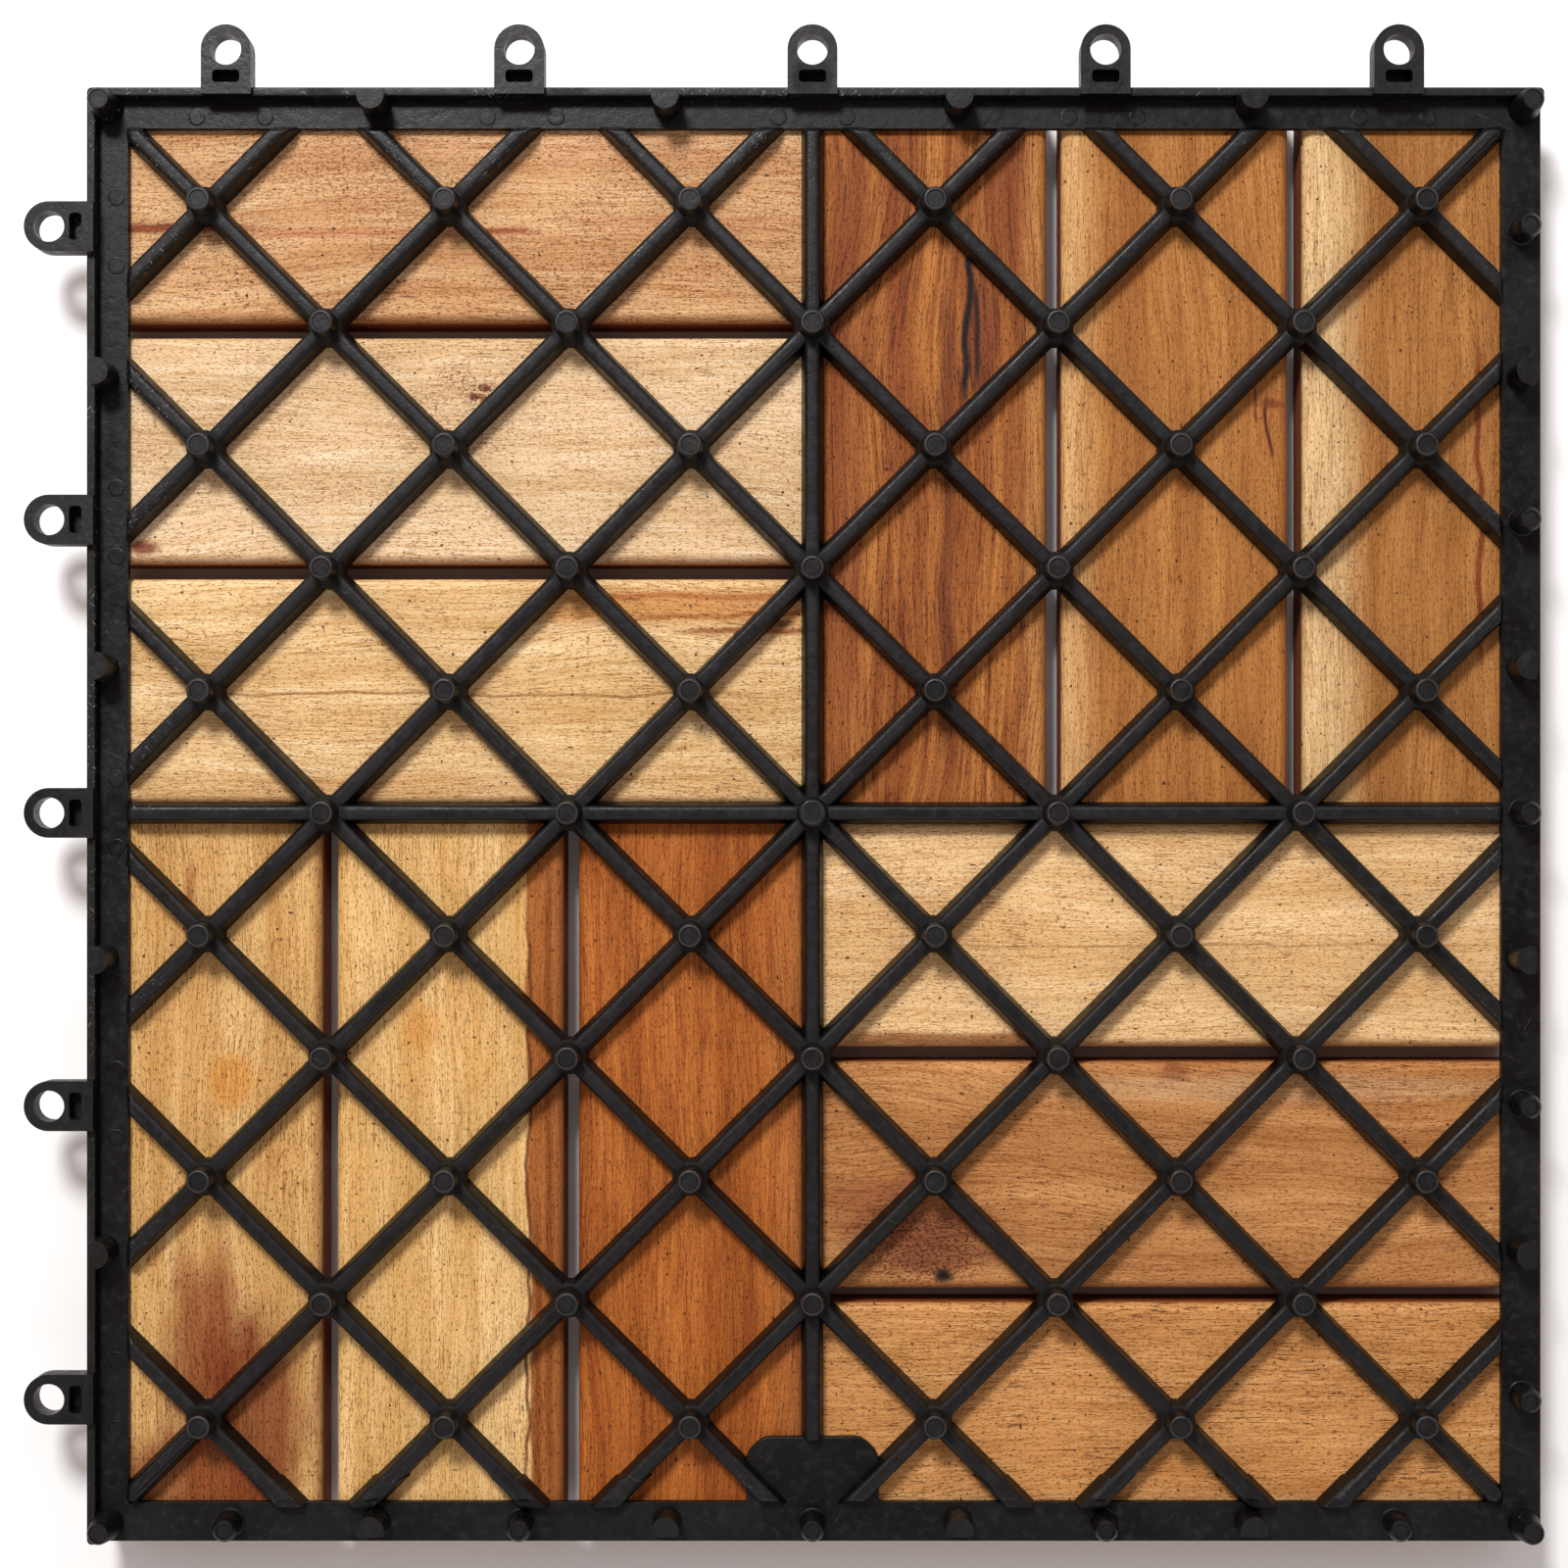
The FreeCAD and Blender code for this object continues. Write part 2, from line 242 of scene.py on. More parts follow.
def narrow_top(bar, ratio):
    """Narrow the upper face of a bar that lies along X."""
    pick(bar, lambda place, normal: normal.z > 0.9)
    bpy.ops.transform.resize(value=(1, ratio, 1))
    leave_edit()


def apply_place(obj):
    """Move an object's place, turn and size into its mesh."""
    only(obj)
    bpy.ops.object.transform_apply(location=True, rotation=True, scale=True)


def block(name, low, high):
    """A block between two corners, in millimetres about the middle of the tile."""
    bpy.ops.object.select_all(action="DESELECT")
    centre = [(a + b) / 2 for a, b in zip(low, high)]
    bpy.ops.mesh.primitive_cube_add(size=1, location=centre)
    obj = bpy.context.object
    obj.name = name
    obj.scale = [b - a for a, b in zip(low, high)]
    apply_place(obj)
    return obj


def turned(name, x, y, profile, sides):
    """A turned post: a disc at the first radius and height, drawn up through the rest of the profile."""
    bpy.ops.object.select_all(action="DESELECT")
    radius, height = profile[0]
    bpy.ops.mesh.primitive_circle_add(vertices=sides, radius=radius, fill_type="NGON",
                                      location=(x, y, height))
    obj = bpy.context.object
    obj.name = name
    apply_place(obj)
    bpy.ops.object.mode_set(mode="EDIT")
    bpy.ops.mesh.select_all(action="SELECT")
    bpy.ops.mesh.normals_make_consistent(inside=False)
    for next_radius, next_height in profile[1:]:
        bpy.ops.mesh.extrude_region_move(TRANSFORM_OT_translate={"value": (0, 0, next_height - height)})
        ratio = next_radius / radius
        bpy.ops.transform.resize(value=(ratio, ratio, 1), center_override=(x, y, next_height))
        radius, height = next_radius, next_height
    bpy.ops.mesh.select_all(action="SELECT")
    bpy.ops.mesh.normals_make_consistent(inside=False)
    leave_edit()
    return obj


def cut_plane(obj, point, normal):
    """Cut away what lies beyond a plane, and close the cut."""
    only(obj)
    bpy.ops.object.mode_set(mode="EDIT")
    bpy.ops.mesh.select_all(action="SELECT")
    bpy.ops.mesh.bisect(plane_co=point, plane_no=normal, use_fill=True, clear_outer=True,
                        threshold=0.0001)
    leave_edit()


def soften(obj, width, segments=2, angle=40):
    """Round all edges sharper than an angle."""
    only(obj)
    bevel = obj.modifiers.new("worn edges", "BEVEL")
    bevel.width = width
    bevel.segments = segments
    bevel.limit_method = "ANGLE"
    bevel.angle_limit = math.radians(angle)
    bpy.ops.object.modifier_apply(modifier=bevel.name)


def combine(obj, other, operation="UNION"):
    """Add another closed shape to this one, or take it away, and drop the other."""
    only(obj)
    boolean = obj.modifiers.new("combine", "BOOLEAN")
    boolean.operation = operation
    boolean.solver = "MANIFOLD"
    boolean.object = other
    bpy.ops.object.modifier_apply(modifier=boolean.name)
    bpy.data.objects.remove(other)


def joined(name, objects):
    """Join objects that don't touch each other into one."""
    only(*objects)
    bpy.ops.object.join()
    objects[0].name = name
    return objects[0]


def copied(obj, move):
    """A copy with its own mesh, moved."""
    other = obj.copy()
    other.data = obj.data.copy()
    bpy.context.collection.objects.link(other)
    other.location = move
    apply_place(other)
    return other


def mirrored(obj):
    """A copy on the neighbouring side: what lies at (x, y) comes to lie at (-y, -x)."""
    other = copied(obj, (0, 0, 0))
    other.rotation_euler = (0, 0, math.radians(90))
    other.scale = (-1, 1, 1)
    apply_place(other)
    bpy.ops.object.mode_set(mode="EDIT")
    bpy.ops.mesh.select_all(action="SELECT")
    bpy.ops.mesh.normals_make_consistent(inside=False)
    leave_edit()
    return other


# %% [markdown]
# Ribs of the lattice
#
# A moulded rib is wider at its root than at its crest, so that it leaves the mould, and its crest is
# rounded. Each rib is a block as long as its line of the lattice, drawn along X: its top is narrowed, its
# upper edges are rounded, and it is turned into its line. At the rails the ribs slope down, which is one
# sloping cut at each end, with the rim of the cut rounded.

# %% Ribs
SLATS_PER_PANEL = 3
SLAT_GAP = 3.0
RIB_HEIGHT = 4.6
RIB_ROOT = 4.6
RIB_CREST = 2.9
RIB_ROUND = 0.9
RIB_END_SLOPE = 0.45
RIB_END_ROUND = 0.7
WORN_EDGE = 0.25
RAIL_SIDE = {"left": 140.0, "top": 140.0, "right": 141.0, "bottom": 141.0}
PAD_DEPTH = 13.3

slat_length = max(high[0] - low[0] for low, high in slat_boxes.values()) / MM
slat_pitch = (slat_length + SLAT_GAP) / SLATS_PER_PANEL
rib_root_z, rib_top_z = deck_z, deck_z + RIB_HEIGHT
rib_steps = range(1 - 2 * SLATS_PER_PANEL, 2 * SLATS_PER_PANEL)
rib_far = max(RAIL_SIDE.values()) + 8


def rib(start, end):
    """One rib between two points of the plan."""
    length = math.dist(start, end)
    bar = block("rib", (0, -RIB_ROOT / 2, rib_root_z), (length, RIB_ROOT / 2, rib_top_z))
    narrow_top(bar, RIB_CREST / RIB_ROOT)
    round_edges(bar, RIB_ROUND, 4, lambda place, way: abs(way.x) > 0.9 and place.z > rib_top_z - 0.1)
    bar.location = (*start, 0)
    bar.rotation_euler = (0, 0, math.atan2(end[1] - start[1], end[0] - start[0]))
    apply_place(bar)
    return bar


def slope_ends(bar):
    """Cut a rib off along slopes at the inner edges of the four rails, and round the rims of the cuts."""
    lean = 1 / math.hypot(1, RIB_END_SLOPE)
    middle_height = (rib_root_z + rib_top_z) / 2
    for side, (nx, ny) in {"left": (-1, 0), "right": (1, 0), "top": (0, 1), "bottom": (0, -1)}.items():
        reach = RAIL_SIDE[side]
        point = Vector((nx * reach, ny * reach, middle_height))
        normal = Vector((nx * lean, ny * lean, RIB_END_SLOPE * lean))
        cut_plane(bar, point, normal)
        round_edges(bar, RIB_END_ROUND, 4, lambda place, way:
                    abs((place - point).dot(normal)) + abs(way.dot(normal)) < 0.01)


def diagonal_ribs(lean):
    """All ribs that run one way, each half pitch of the slats."""
    bars = []
    for step in rib_steps:
        shift = step * slat_pitch / 2
        reach = rib_far - abs(shift)
        start = (shift - reach, lean * (shift + reach))
        end = (shift + reach, lean * (shift - reach))
        bars.append(rib(start, end))
    for bar in bars:
        slope_ends(bar)
        soften(bar, WORN_EDGE)
    return joined("ribs", bars)


ribs_down = diagonal_ribs(1)
ribs_up = diagonal_ribs(-1)
cross_x = rib((-rib_far, 0), (rib_far, 0))
cross_y = rib((0, PAD_DEPTH - RAIL_SIDE["bottom"]), (0, rib_far))
for cross_rib in (cross_x, cross_y):
    slope_ends(cross_rib)
    soften(cross_rib, WORN_EDGE)
print("ribs:", 2 * len(rib_steps) + 2)

# %% [markdown]
# Hubs and feet
#
# Where ribs cross, a round hub fills the corners, and a foot stands on it. The foot is turned: slightly
# narrower at the tip, with a raised rim round a shallow dish, as an ejector pin leaves it. Hub and foot are
# drawn once as a profile of radii and heights, pulled up from a disc, and copied to each crossing. The
# middle one is thicker.

# %% Hubs and feet
HUB_RADIUS = 3.8
HUB_HEIGHT = 4.5
FOOT_RADIUS = 2.6
FOOT_TIP = 2.5
FOOT_SIDES = 24
RIM_WIDTH = 0.2
DISH_DEPTH = 0.25
CENTRE_EXTRA = 0.35


def node_profile(extra):
    """Radii and heights of a hub and its foot, from the root up to the dish in the tip."""
    hub_z = deck_z + HUB_HEIGHT
    foot, tip = FOOT_RADIUS + extra, FOOT_TIP + extra
    hub = HUB_RADIUS + extra
    return [(hub, deck_z), (hub - 0.1, hub_z - 1.0), (hub - 0.35, hub_z - 0.45), (hub - 0.9, hub_z),
            (foot + 0.35, hub_z), (foot, hub_z + 0.6), (tip, feet_z - 0.55), (tip - 0.1, feet_z - 0.25),
            (tip - 0.3, feet_z - 0.05), (tip - 0.5, feet_z), (tip - 0.5 - RIM_WIDTH, feet_z),
            (tip - 0.65 - RIM_WIDTH, feet_z - DISH_DEPTH)]


def slat_steps(count):
    """Places of count things at the pitch of the slats, centred on the middle."""
    return [(i - (count - 1) / 2) * slat_pitch for i in range(count)]


on_slats = slat_steps(2 * SLATS_PER_PANEL)
over_gaps = slat_steps(2 * SLATS_PER_PANEL - 1)
crossings = [(x, y) for x in on_slats for y in on_slats] + [(x, y) for x in over_gaps for y in over_gaps]
outer_crossings = [place for place in crossings if math.hypot(*place) > 1]
post = turned("foot", 0, 0, node_profile(0), FOOT_SIDES)
posts = [copied(post, (x, y, 0)) for x, y in outer_crossings]
posts.append(turned("middle_foot", 0, 0, node_profile(CENTRE_EXTRA), FOOT_SIDES))
bpy.data.objects.remove(post)
posts = joined("posts", posts)
print("crossings:", len(crossings))

# %% [markdown]
# Rails and skirt
#
# The frame is flat rails with a window for the lattice. On the two sides with loops a thin skirt stands on
# the outer edge. The rails are a plate out of which a block cuts the window. The skirt is the same plate,
# taller, and a larger block takes away all of it but an L.

# %% Rails and skirt
LOOP_SIDE_EDGE = 147.7
PIN_SIDE_EDGE = 149.0
SKIRT_THICKNESS = 1.8
PLATE_CORNER = 1.0
RAIL_EDGE = 0.3
SKIRT_EDGE = 0.35


def upright(place, way):
    """Whether an edge stands upright."""
    return abs(way.z) > 0.9


def tile_plate(name, top):
    """A plate over the whole frame, with rounded corners."""
    plate = block(name, (-LOOP_SIDE_EDGE, -PIN_SIDE_EDGE, deck_z), (PIN_SIDE_EDGE, LOOP_SIDE_EDGE, top))
    round_edges(plate, PLATE_CORNER, 4, upright)
    return plate


def rails():
    """The flat rails: a plate with a window."""
    plate = tile_plate("rails", rail_top)
    low = (-RAIL_SIDE["left"], -RAIL_SIDE["bottom"], deck_z - 1)
    high = (RAIL_SIDE["right"], RAIL_SIDE["top"], rail_top + 1)
    combine(plate, block("window", low, high), "DIFFERENCE")
    soften(plate, RAIL_EDGE, 3)
    return plate


def skirt():
    """The thin wall along the outer edge on the left and at the top."""
    wall = tile_plate("skirt", deck_z + RIB_HEIGHT)
    inside = LOOP_SIDE_EDGE - SKIRT_THICKNESS
    low = (-inside, -PIN_SIDE_EDGE - 1, deck_z - 1)
    high = (PIN_SIDE_EDGE + 1, inside, deck_z + RIB_HEIGHT + 1)
    combine(wall, block("yard", low, high), "DIFFERENCE")
    soften(wall, SKIRT_EDGE, 3)
    return wall


grid = rails()
combine(grid, skirt())
print("rails and skirt:", len(grid.data.polygons), "faces")

# %% [markdown]
# Loops
#
# A loop is an arm with a round end, a hole for a pin of the next tile, and a blind slot behind the hole.
# The arm and the eye are combined, then hole and slot are cut out, and all edges are rounded together so
# that the rounding runs round every outline. The top row is the left row, mirrored about the tile's
# diagonal.

# %% Loops
EYE_SIDES = 48
SLOT_OFFSET = 5.4
SLOT_LENGTH = 5.55
SLOT_WIDTH = 2.55
SLOT_DEPTH = 3.2
SLOT_CORNER = 0.75


def loop():
    """The loop in the middle of the left side."""
    root = SKIRT_THICKNESS - LOOP_SIDE_EDGE
    body = block("loop", (-loop_centre, -loop_half, loop_bottom), (root, loop_half, loop_top))
    eye = turned("eye", -loop_centre, 0, [(loop_half, loop_bottom), (loop_half, loop_top)], EYE_SIDES)
    combine(body, eye)
    hole_profile = [(loop_hole, loop_bottom - 1), (loop_hole, loop_top + 1)]
    combine(body, turned("hole", -loop_centre, 0, hole_profile, EYE_SIDES), "DIFFERENCE")
    slot_x = SLOT_OFFSET - loop_centre
    low = (slot_x - SLOT_WIDTH / 2, -SLOT_LENGTH / 2, loop_top - SLOT_DEPTH)
    high = (slot_x + SLOT_WIDTH / 2, SLOT_LENGTH / 2, loop_top + 1)
    slot = block("slot", low, high)
    round_edges(slot, SLOT_CORNER, 3, upright)
    combine(body, slot, "DIFFERENCE")
    soften(body, RAIL_EDGE, 3, 50)
    return body


first_loop = loop()
left_loops = joined("loops", [copied(first_loop, (0, y, 0)) for y in link_steps])
top_loops = mirrored(left_loops)
bpy.data.objects.remove(first_loop)
combine(grid, left_loops)
combine(grid, top_loops)
print("loops:", 2 * LINKS)

# %% [markdown]
# Pins and rail feet
#
# The pins hook into the loops of the next tile. Each is turned, with a low ring at its root and a rounded
# tip. The feet on the rails are turned too, and cut flat on the outer side, so that the next tile's edge
# can pass.

# %% Pins and rail feet
PIN_SIDES = 32
ROOT_IN_RAIL = 0.8
PIN_RING = 2.95
RAIL_FOOT_RADIUS = 2.9
RAIL_FOOT_FLAT = 1.2
RAIL_FOOT_LINE = 144.9
CORNER_TIP = 2.2
CORNER_ROOT = 3.5


def pin(y):
    """A pin on the right side."""
    root = rail_top - ROOT_IN_RAIL
    profile = [(PIN_RING, root), (PIN_RING, rail_top + 0.35), (pin_radius + 0.15, rail_top + 0.55),
               (pin_radius, rail_top + 0.9), (pin_radius, pin_top - 1.3),
               (pin_radius - 0.25, pin_top - 0.45), (pin_radius - 0.7, pin_top),
               (pin_radius - 1.0, pin_top), (pin_radius - 1.15, pin_top - 0.25)]
    return turned("pin", pin_centre, y, profile, PIN_SIDES)


def rail_foot(side, y):
    """A foot on a rail, flat towards the outside. side is -1 on the left and 1 on the right."""
    x = side * RAIL_FOOT_LINE
    root = rail_top - ROOT_IN_RAIL
    profile = [(RAIL_FOOT_RADIUS + 0.1, root), (RAIL_FOOT_RADIUS - 0.1, feet_z)]
    foot = turned("rail_foot", x, y, profile, PIN_SIDES)
    cut_plane(foot, (x + side * RAIL_FOOT_FLAT, y, root), (side, 0, 0))
    soften(foot, WORN_EDGE, 3, 50)
    return foot


def corner_foot(x, y):
    """A tapered foot at a corner of the frame."""
    profile = [(CORNER_ROOT, rail_top - ROOT_IN_RAIL), (CORNER_ROOT - 0.2, rail_top),
               (CORNER_TIP + 0.1, feet_z - 0.4), (CORNER_TIP - 0.2, feet_z),
               (CORNER_TIP - 0.5, feet_z), (CORNER_TIP - 0.6, feet_z - 0.2)]
    return turned("corner_foot", x, y, profile, PIN_SIDES)


side_pins = joined("pins", [pin(y) for y in link_steps])
side_feet = joined("rail_feet", [rail_foot(side, y) for side in (-1, 1) for y in between_steps])
corner_near, corner_far = LOOP_SIDE_EDGE - CORNER_ROOT, PIN_SIDE_EDGE - CORNER_ROOT
corners = [corner_foot(-corner_near, corner_near), corner_foot(corner_far, -corner_far)]
corners += [corner_foot(-corner_near, -corner_far), corner_foot(corner_far, corner_near)]
corner_feet = joined("corner_feet", corners)
for group in (mirrored(side_pins), mirrored(side_feet), side_pins, side_feet, corner_feet):
    combine(grid, group)
print("pins:", 2 * LINKS, "rail feet:", 4 * len(between_steps), "corner feet:", len(corners))

# %% [markdown]
# Gate pad
#
# The melt entered the mould at the middle of the bottom rail. A small plate there joins the rail to two
# ribs. It is a block with its two upper corners cut off at 45 degrees, and the corners of the cuts rounded.

# %% Gate pad
PAD_HALF_WIDTH = 13.6
PAD_TOP_HALF_WIDTH = 10.2
PAD_CORNER = 1.6


def gate_pad():
    """The plate at the middle of the bottom rail."""
    bottom = -RAIL_SIDE["bottom"]
    pad = block("gate_pad", (-PAD_HALF_WIDTH, bottom - 2, deck_z),
                (PAD_HALF_WIDTH, bottom + PAD_DEPTH, rail_top + 0.1))
    for side in (-1, 1):
        cut_plane(pad, (side * PAD_TOP_HALF_WIDTH, bottom + PAD_DEPTH, deck_z), (side, 1, 0))
    round_edges(pad, PAD_CORNER, 4, lambda place, way: upright(place, way) and place.y > bottom)
    soften(pad, RAIL_EDGE, 3)
    return pad


combine(grid, gate_pad())

# %% [markdown]
# Marks of the mould
#
# Pins pushed the moulding out of the mould beside each loop, and each left a low ring on the rail. The
# rings are turned discs with a raised rim, and a larger one lies below the gate pad. Where ribs meet the
# lower rail they stand on wider blocks, which are short bars narrowed at the top and cut off by two planes.

# %% Marks of the mould
RING_RADIUS = 1.75
RING_HEIGHT = 0.14
RING_WIDTH = 0.28
RING_LINE = 142.4
RING_STEP = 7.0
GATE_RING = (-7.75, -143.4)
GATE_RING_RADIUS = 2.6
BLOCK_LENGTH = 5.4
BLOCK_WIDTH = 5.4
BLOCK_REACH = 12.0
BLOCK_TAPER = 0.65


def mould_ring(x, y, radius):
    """A low ring on a rail."""
    top = rail_top + RING_HEIGHT
    profile = [(radius, rail_top - 0.5), (radius, top - 0.04), (radius - 0.06, top),
               (radius - RING_WIDTH, top), (radius - RING_WIDTH - 0.06, rail_top + 0.03)]
    return turned("mould_ring", x, y, profile, FOOT_SIDES)


def rib_block(x, lean):
    """The wider foot of a rib at the lower rail."""
    bottom = -RAIL_SIDE["bottom"]
    far_end = (2 * BLOCK_REACH, BLOCK_WIDTH / 2, rib_top_z - 0.5)
    bar = block("rib_block", (0, -BLOCK_WIDTH / 2, deck_z), far_end)
    narrow_top(bar, BLOCK_TAPER)
    bar.rotation_euler = (0, 0, math.atan2(lean, 1))
    back = BLOCK_REACH / math.sqrt(2)
    bar.location = (x - back, bottom - lean * back, 0)
    apply_place(bar)
    cut_plane(bar, (0, bottom - 0.5, 0), (0, -1, 0))
    cut_plane(bar, (0, bottom + BLOCK_LENGTH, 0), (0, 1, 0))
    soften(bar, RAIL_EDGE)
    return bar


ring_places = [(-RING_LINE, y + side * RING_STEP) for y in link_steps for side in (-1, 1)]
side_rings = joined("mould_rings", [mould_ring(x, y, RING_RADIUS) for x, y in ring_places])
combine(grid, mirrored(side_rings))
combine(grid, side_rings)
combine(grid, mould_ring(*GATE_RING, GATE_RING_RADIUS))
rib_ends = [(step * slat_pitch + lean * RAIL_SIDE["bottom"], -lean)
            for step in rib_steps for lean in (1, -1)]
block_places = [(x, lean) for x, lean in rib_ends if PAD_HALF_WIDTH < abs(x) < RAIL_SIDE["bottom"] - 5]
rib_blocks = joined("rib_blocks", [rib_block(x, lean) for x, lean in block_places])
print("mould rings:", 2 * len(ring_places) + 1, "rib blocks:", len(block_places))

# %% [markdown]
# One moulding
#
# Rails, loops, pins and lattice left the mould as one piece. The groups are combined one after the other.
# Each group has no overlaps of its own, which the quick solver needs. The finished mesh is put in its place
# in metres, and its flat faces keep flat shading while the round edges are smoothed.

# %% One moulding
SMOOTH_ANGLE = 42


def finish_mesh(obj):
    """Smooth shading over soft edges, with flat faces left flat."""
    only(obj)
    bpy.ops.object.shade_smooth_by_angle(angle=math.radians(SMOOTH_ANGLE))
    weights = obj.modifiers.new("flat faces stay flat", "WEIGHTED_NORMAL")
    weights.keep_sharp = True
    bpy.ops.object.modifier_apply(modifier=weights.name)


def to_metres(obj):
    """From millimetres about the middle of the tile to metres in the frame."""
    obj.location = (middle_x * MM, middle_y * MM, 0)
    obj.scale = (MM, MM, MM)
    apply_place(obj)


for group in (ribs_down, ribs_up, cross_x, cross_y, rib_blocks, posts):
    combine(grid, group)
grid.name = "grid_moulding"
to_metres(grid)
finish_mesh(grid)
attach(grid, "root")
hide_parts("moulded_grid")
print("moulding:", len(grid.data.polygons), "faces")

# %% [markdown]
# Slats
#
# Each slat is a planed board: a block with its long edges rounded to 2 mm and its sawn ends just eased. The
# long edges are rounded first, and what is still sharp after that is the ends. The board takes its size and
# place from its node of the frame.

# %% Slats
LONG_EDGE_ROUND = 2.0
END_EASE = 0.5


def slat(node):
    """The board that stands for one slat of the frame."""
    low, high = ([c / MM for c in corner] for corner in slat_boxes[node])
    board = block(node.replace("slat", "board"), low, high)
    along = 0 if high[0] - low[0] > high[1] - low[1] else 1
    round_edges(board, LONG_EDGE_ROUND, 6, lambda place, way: abs(way[along]) > 0.9)
    soften(board, END_EASE, 3, 60)
    board.scale = (MM, MM, MM)
    apply_place(board)
    finish_mesh(board)
    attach(board, "root")
    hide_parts(node)
    return board


boards = {node: slat(node) for node in sorted(slat_boxes)}
print("boards:", len(boards))

# %% [markdown]
# Building a material out of nodes
#
# A material is a small tree of nodes. These helpers keep each step on one line: `add` makes a node and
# connects or sets its inputs, and the others are the few steps that are used again and again. All patterns
# read Object coordinates. Every piece sits at the origin, so these are places in the tile, and a pattern
# can't slide.

# %% Node helpers
EXPOSURE = 1.05


def linear(hex_colour):
    """A colour as it looks in bright light, such as C99A6C, as the linear values of the surface itself."""
    parts = [int(hex_colour[i:i + 2], 16) / 255 for i in (0, 2, 4)]
    values = [c / 12.92 if c <= 0.04045 else ((c + 0.055) / 1.055) ** 2.4 for c in parts]
    return tuple(c / EXPOSURE for c in values) + (1.0,)


def add(tree, kind, settings=None, **inputs):
    """A new node. Inputs are given by name, as a value or as another node's output."""
    made = tree.nodes.new(kind)
    for name, value in (settings or {}).items():
        setattr(made, name, value)
    for name, value in inputs.items():
        connect(tree, made.inputs[name.replace("_", " ")], value)
    return made


def connect(tree, socket, value):
    """Link an output to a socket, or set the socket's value."""
    if isinstance(value, bpy.types.NodeSocket):
        tree.links.new(value, socket)
    else:
        socket.default_value = value


def calculate(tree, operation, *values):
    """Arithmetic on one to three numbers."""
    made = tree.nodes.new("ShaderNodeMath")
    made.operation = operation
    for socket, value in zip(made.inputs, values):
        connect(tree, socket, value)
    return made.outputs[0]


def times(tree, first, second):
    """Two numbers multiplied, such as a mask by its strength."""
    return calculate(tree, "MULTIPLY", first, second)


def between(tree, value, low, high, to_low=0.0, to_high=1.0):
    """A smooth step of a value from low to high."""
    made = add(tree, "ShaderNodeMapRange", {"interpolation_type": "SMOOTHSTEP"}, Value=value, From_Min=low,
               From_Max=high, To_Min=to_low, To_Max=to_high)
    return made.outputs["Result"]


def mixed(tree, factor, first, second, way="MIX"):
    """Two colours, mixed."""
    made = tree.nodes.new("ShaderNodeMix")
    made.data_type = "RGBA"
    made.blend_type = way
    connect(tree, made.inputs[0], factor)
    connect(tree, made.inputs[6], first)
    connect(tree, made.inputs[7], second)
    return made.outputs[2]


def scaled(tree, vector, factors, move=(0, 0, 0)):
    """A vector with each part multiplied by its own factor, then moved."""
    made = add(tree, "ShaderNodeMapping", Vector=vector, Scale=factors, Location=move)
    return made.outputs["Vector"]


def noise(tree, vector, factors, detail=3.0, roughness=0.55, move=(0, 0, 0)):
    """Noise stretched by one factor for each direction, about one over the size in millimetres."""
    made = add(tree, "ShaderNodeTexNoise", Vector=scaled(tree, vector, factors, move), Scale=1.0,
               Detail=detail, Roughness=roughness)
    return made.outputs["Fac"]


def place_in_mm(tree):
    """Places in the tile, in millimetres about its middle and above the ground."""
    place = add(tree, "ShaderNodeTexCoord").outputs["Object"]
    return scaled(tree, place, (1 / MM, 1 / MM, 1 / MM), (-middle_x, -middle_y, 0))


def new_material(name):
    """An empty material: its tree and its shader."""
    material = bpy.data.materials.new(name)
    material.use_nodes = True
    return material, material.node_tree, material.node_tree.nodes["Principled BSDF"]


# %% [markdown]
# Black plastic
#
# The grid is black plastic, and it isn't even: flow marks make soft lighter patches, and handling has left
# fine pale scratches. Light and shade are painted into its colour too: a paler crest on each rib as painted
# highlight, paler mottle that is partly uneven tone and partly painted sheen, near-black steep sides as
# painted shade, bright strokes near the rails that are scuffs and painted glints, a painted highlight round
# the rim of each foot, and painted shade round the feet's roots, which are also rougher. The gloss varies
# with the patches. The grainy skin of the mould is also a little relief, so that highlights break up on it.

# %% Black plastic
DARK_PATCH, LIGHT_PATCH = "0D0C0D", "141314"
# Painted highlight on the rib crests.
CREST_HIGHLIGHT_COLOUR = "1F1D1E"
# Paler mottle: partly uneven tone, partly painted sheen.
MOTTLE_SHEEN_COLOUR = "262426"
# Painted shade on the steep sides.
SHADED_SIDE_COLOUR = "060606"
SCRATCH_COLOUR = "5E5751"
# Scuffs and painted glints near the rails.
SCUFF_GLINT_COLOUR = "B5AEA6"
# Painted highlight round the feet's rims.
RIM_HIGHLIGHT_COLOUR = "484546"
# Painted shade round the feet's roots.
ROOT_SHADE_COLOUR = "0A0807"
PLASTIC_SHINE = 0.23
PLASTIC_RELIEF = 0.25
RIM_RADIUS = 2.05
SCUFF_GLINT_STARTS, SCUFF_GLINT_FULL = 122, 140


def turned_place(tree, place, turn):
    """Places turned about the upright axis by a number of degrees, for marks that run aslant."""
    made = add(tree, "ShaderNodeMapping", Vector=place, Rotation=(0, 0, math.radians(turn)))
    return made.outputs["Vector"]


def scratches(tree, place, turn, density):
    """Fine straight scratches that run one way: noise stretched a hundred times that way."""
    aslant = turned_place(tree, place, turn)
    lines = noise(tree, aslant, (0.05, 5.0, 1.0), 2.0, 0.5, (turn, turn, 0))
    gaps = noise(tree, aslant, (0.09, 0.35, 0.2), 2.0, 0.5, (turn, 0, turn))
    shown = between(tree, gaps, density, density + 0.08)
    return times(tree, between(tree, lines, 0.70, 0.75), shown)


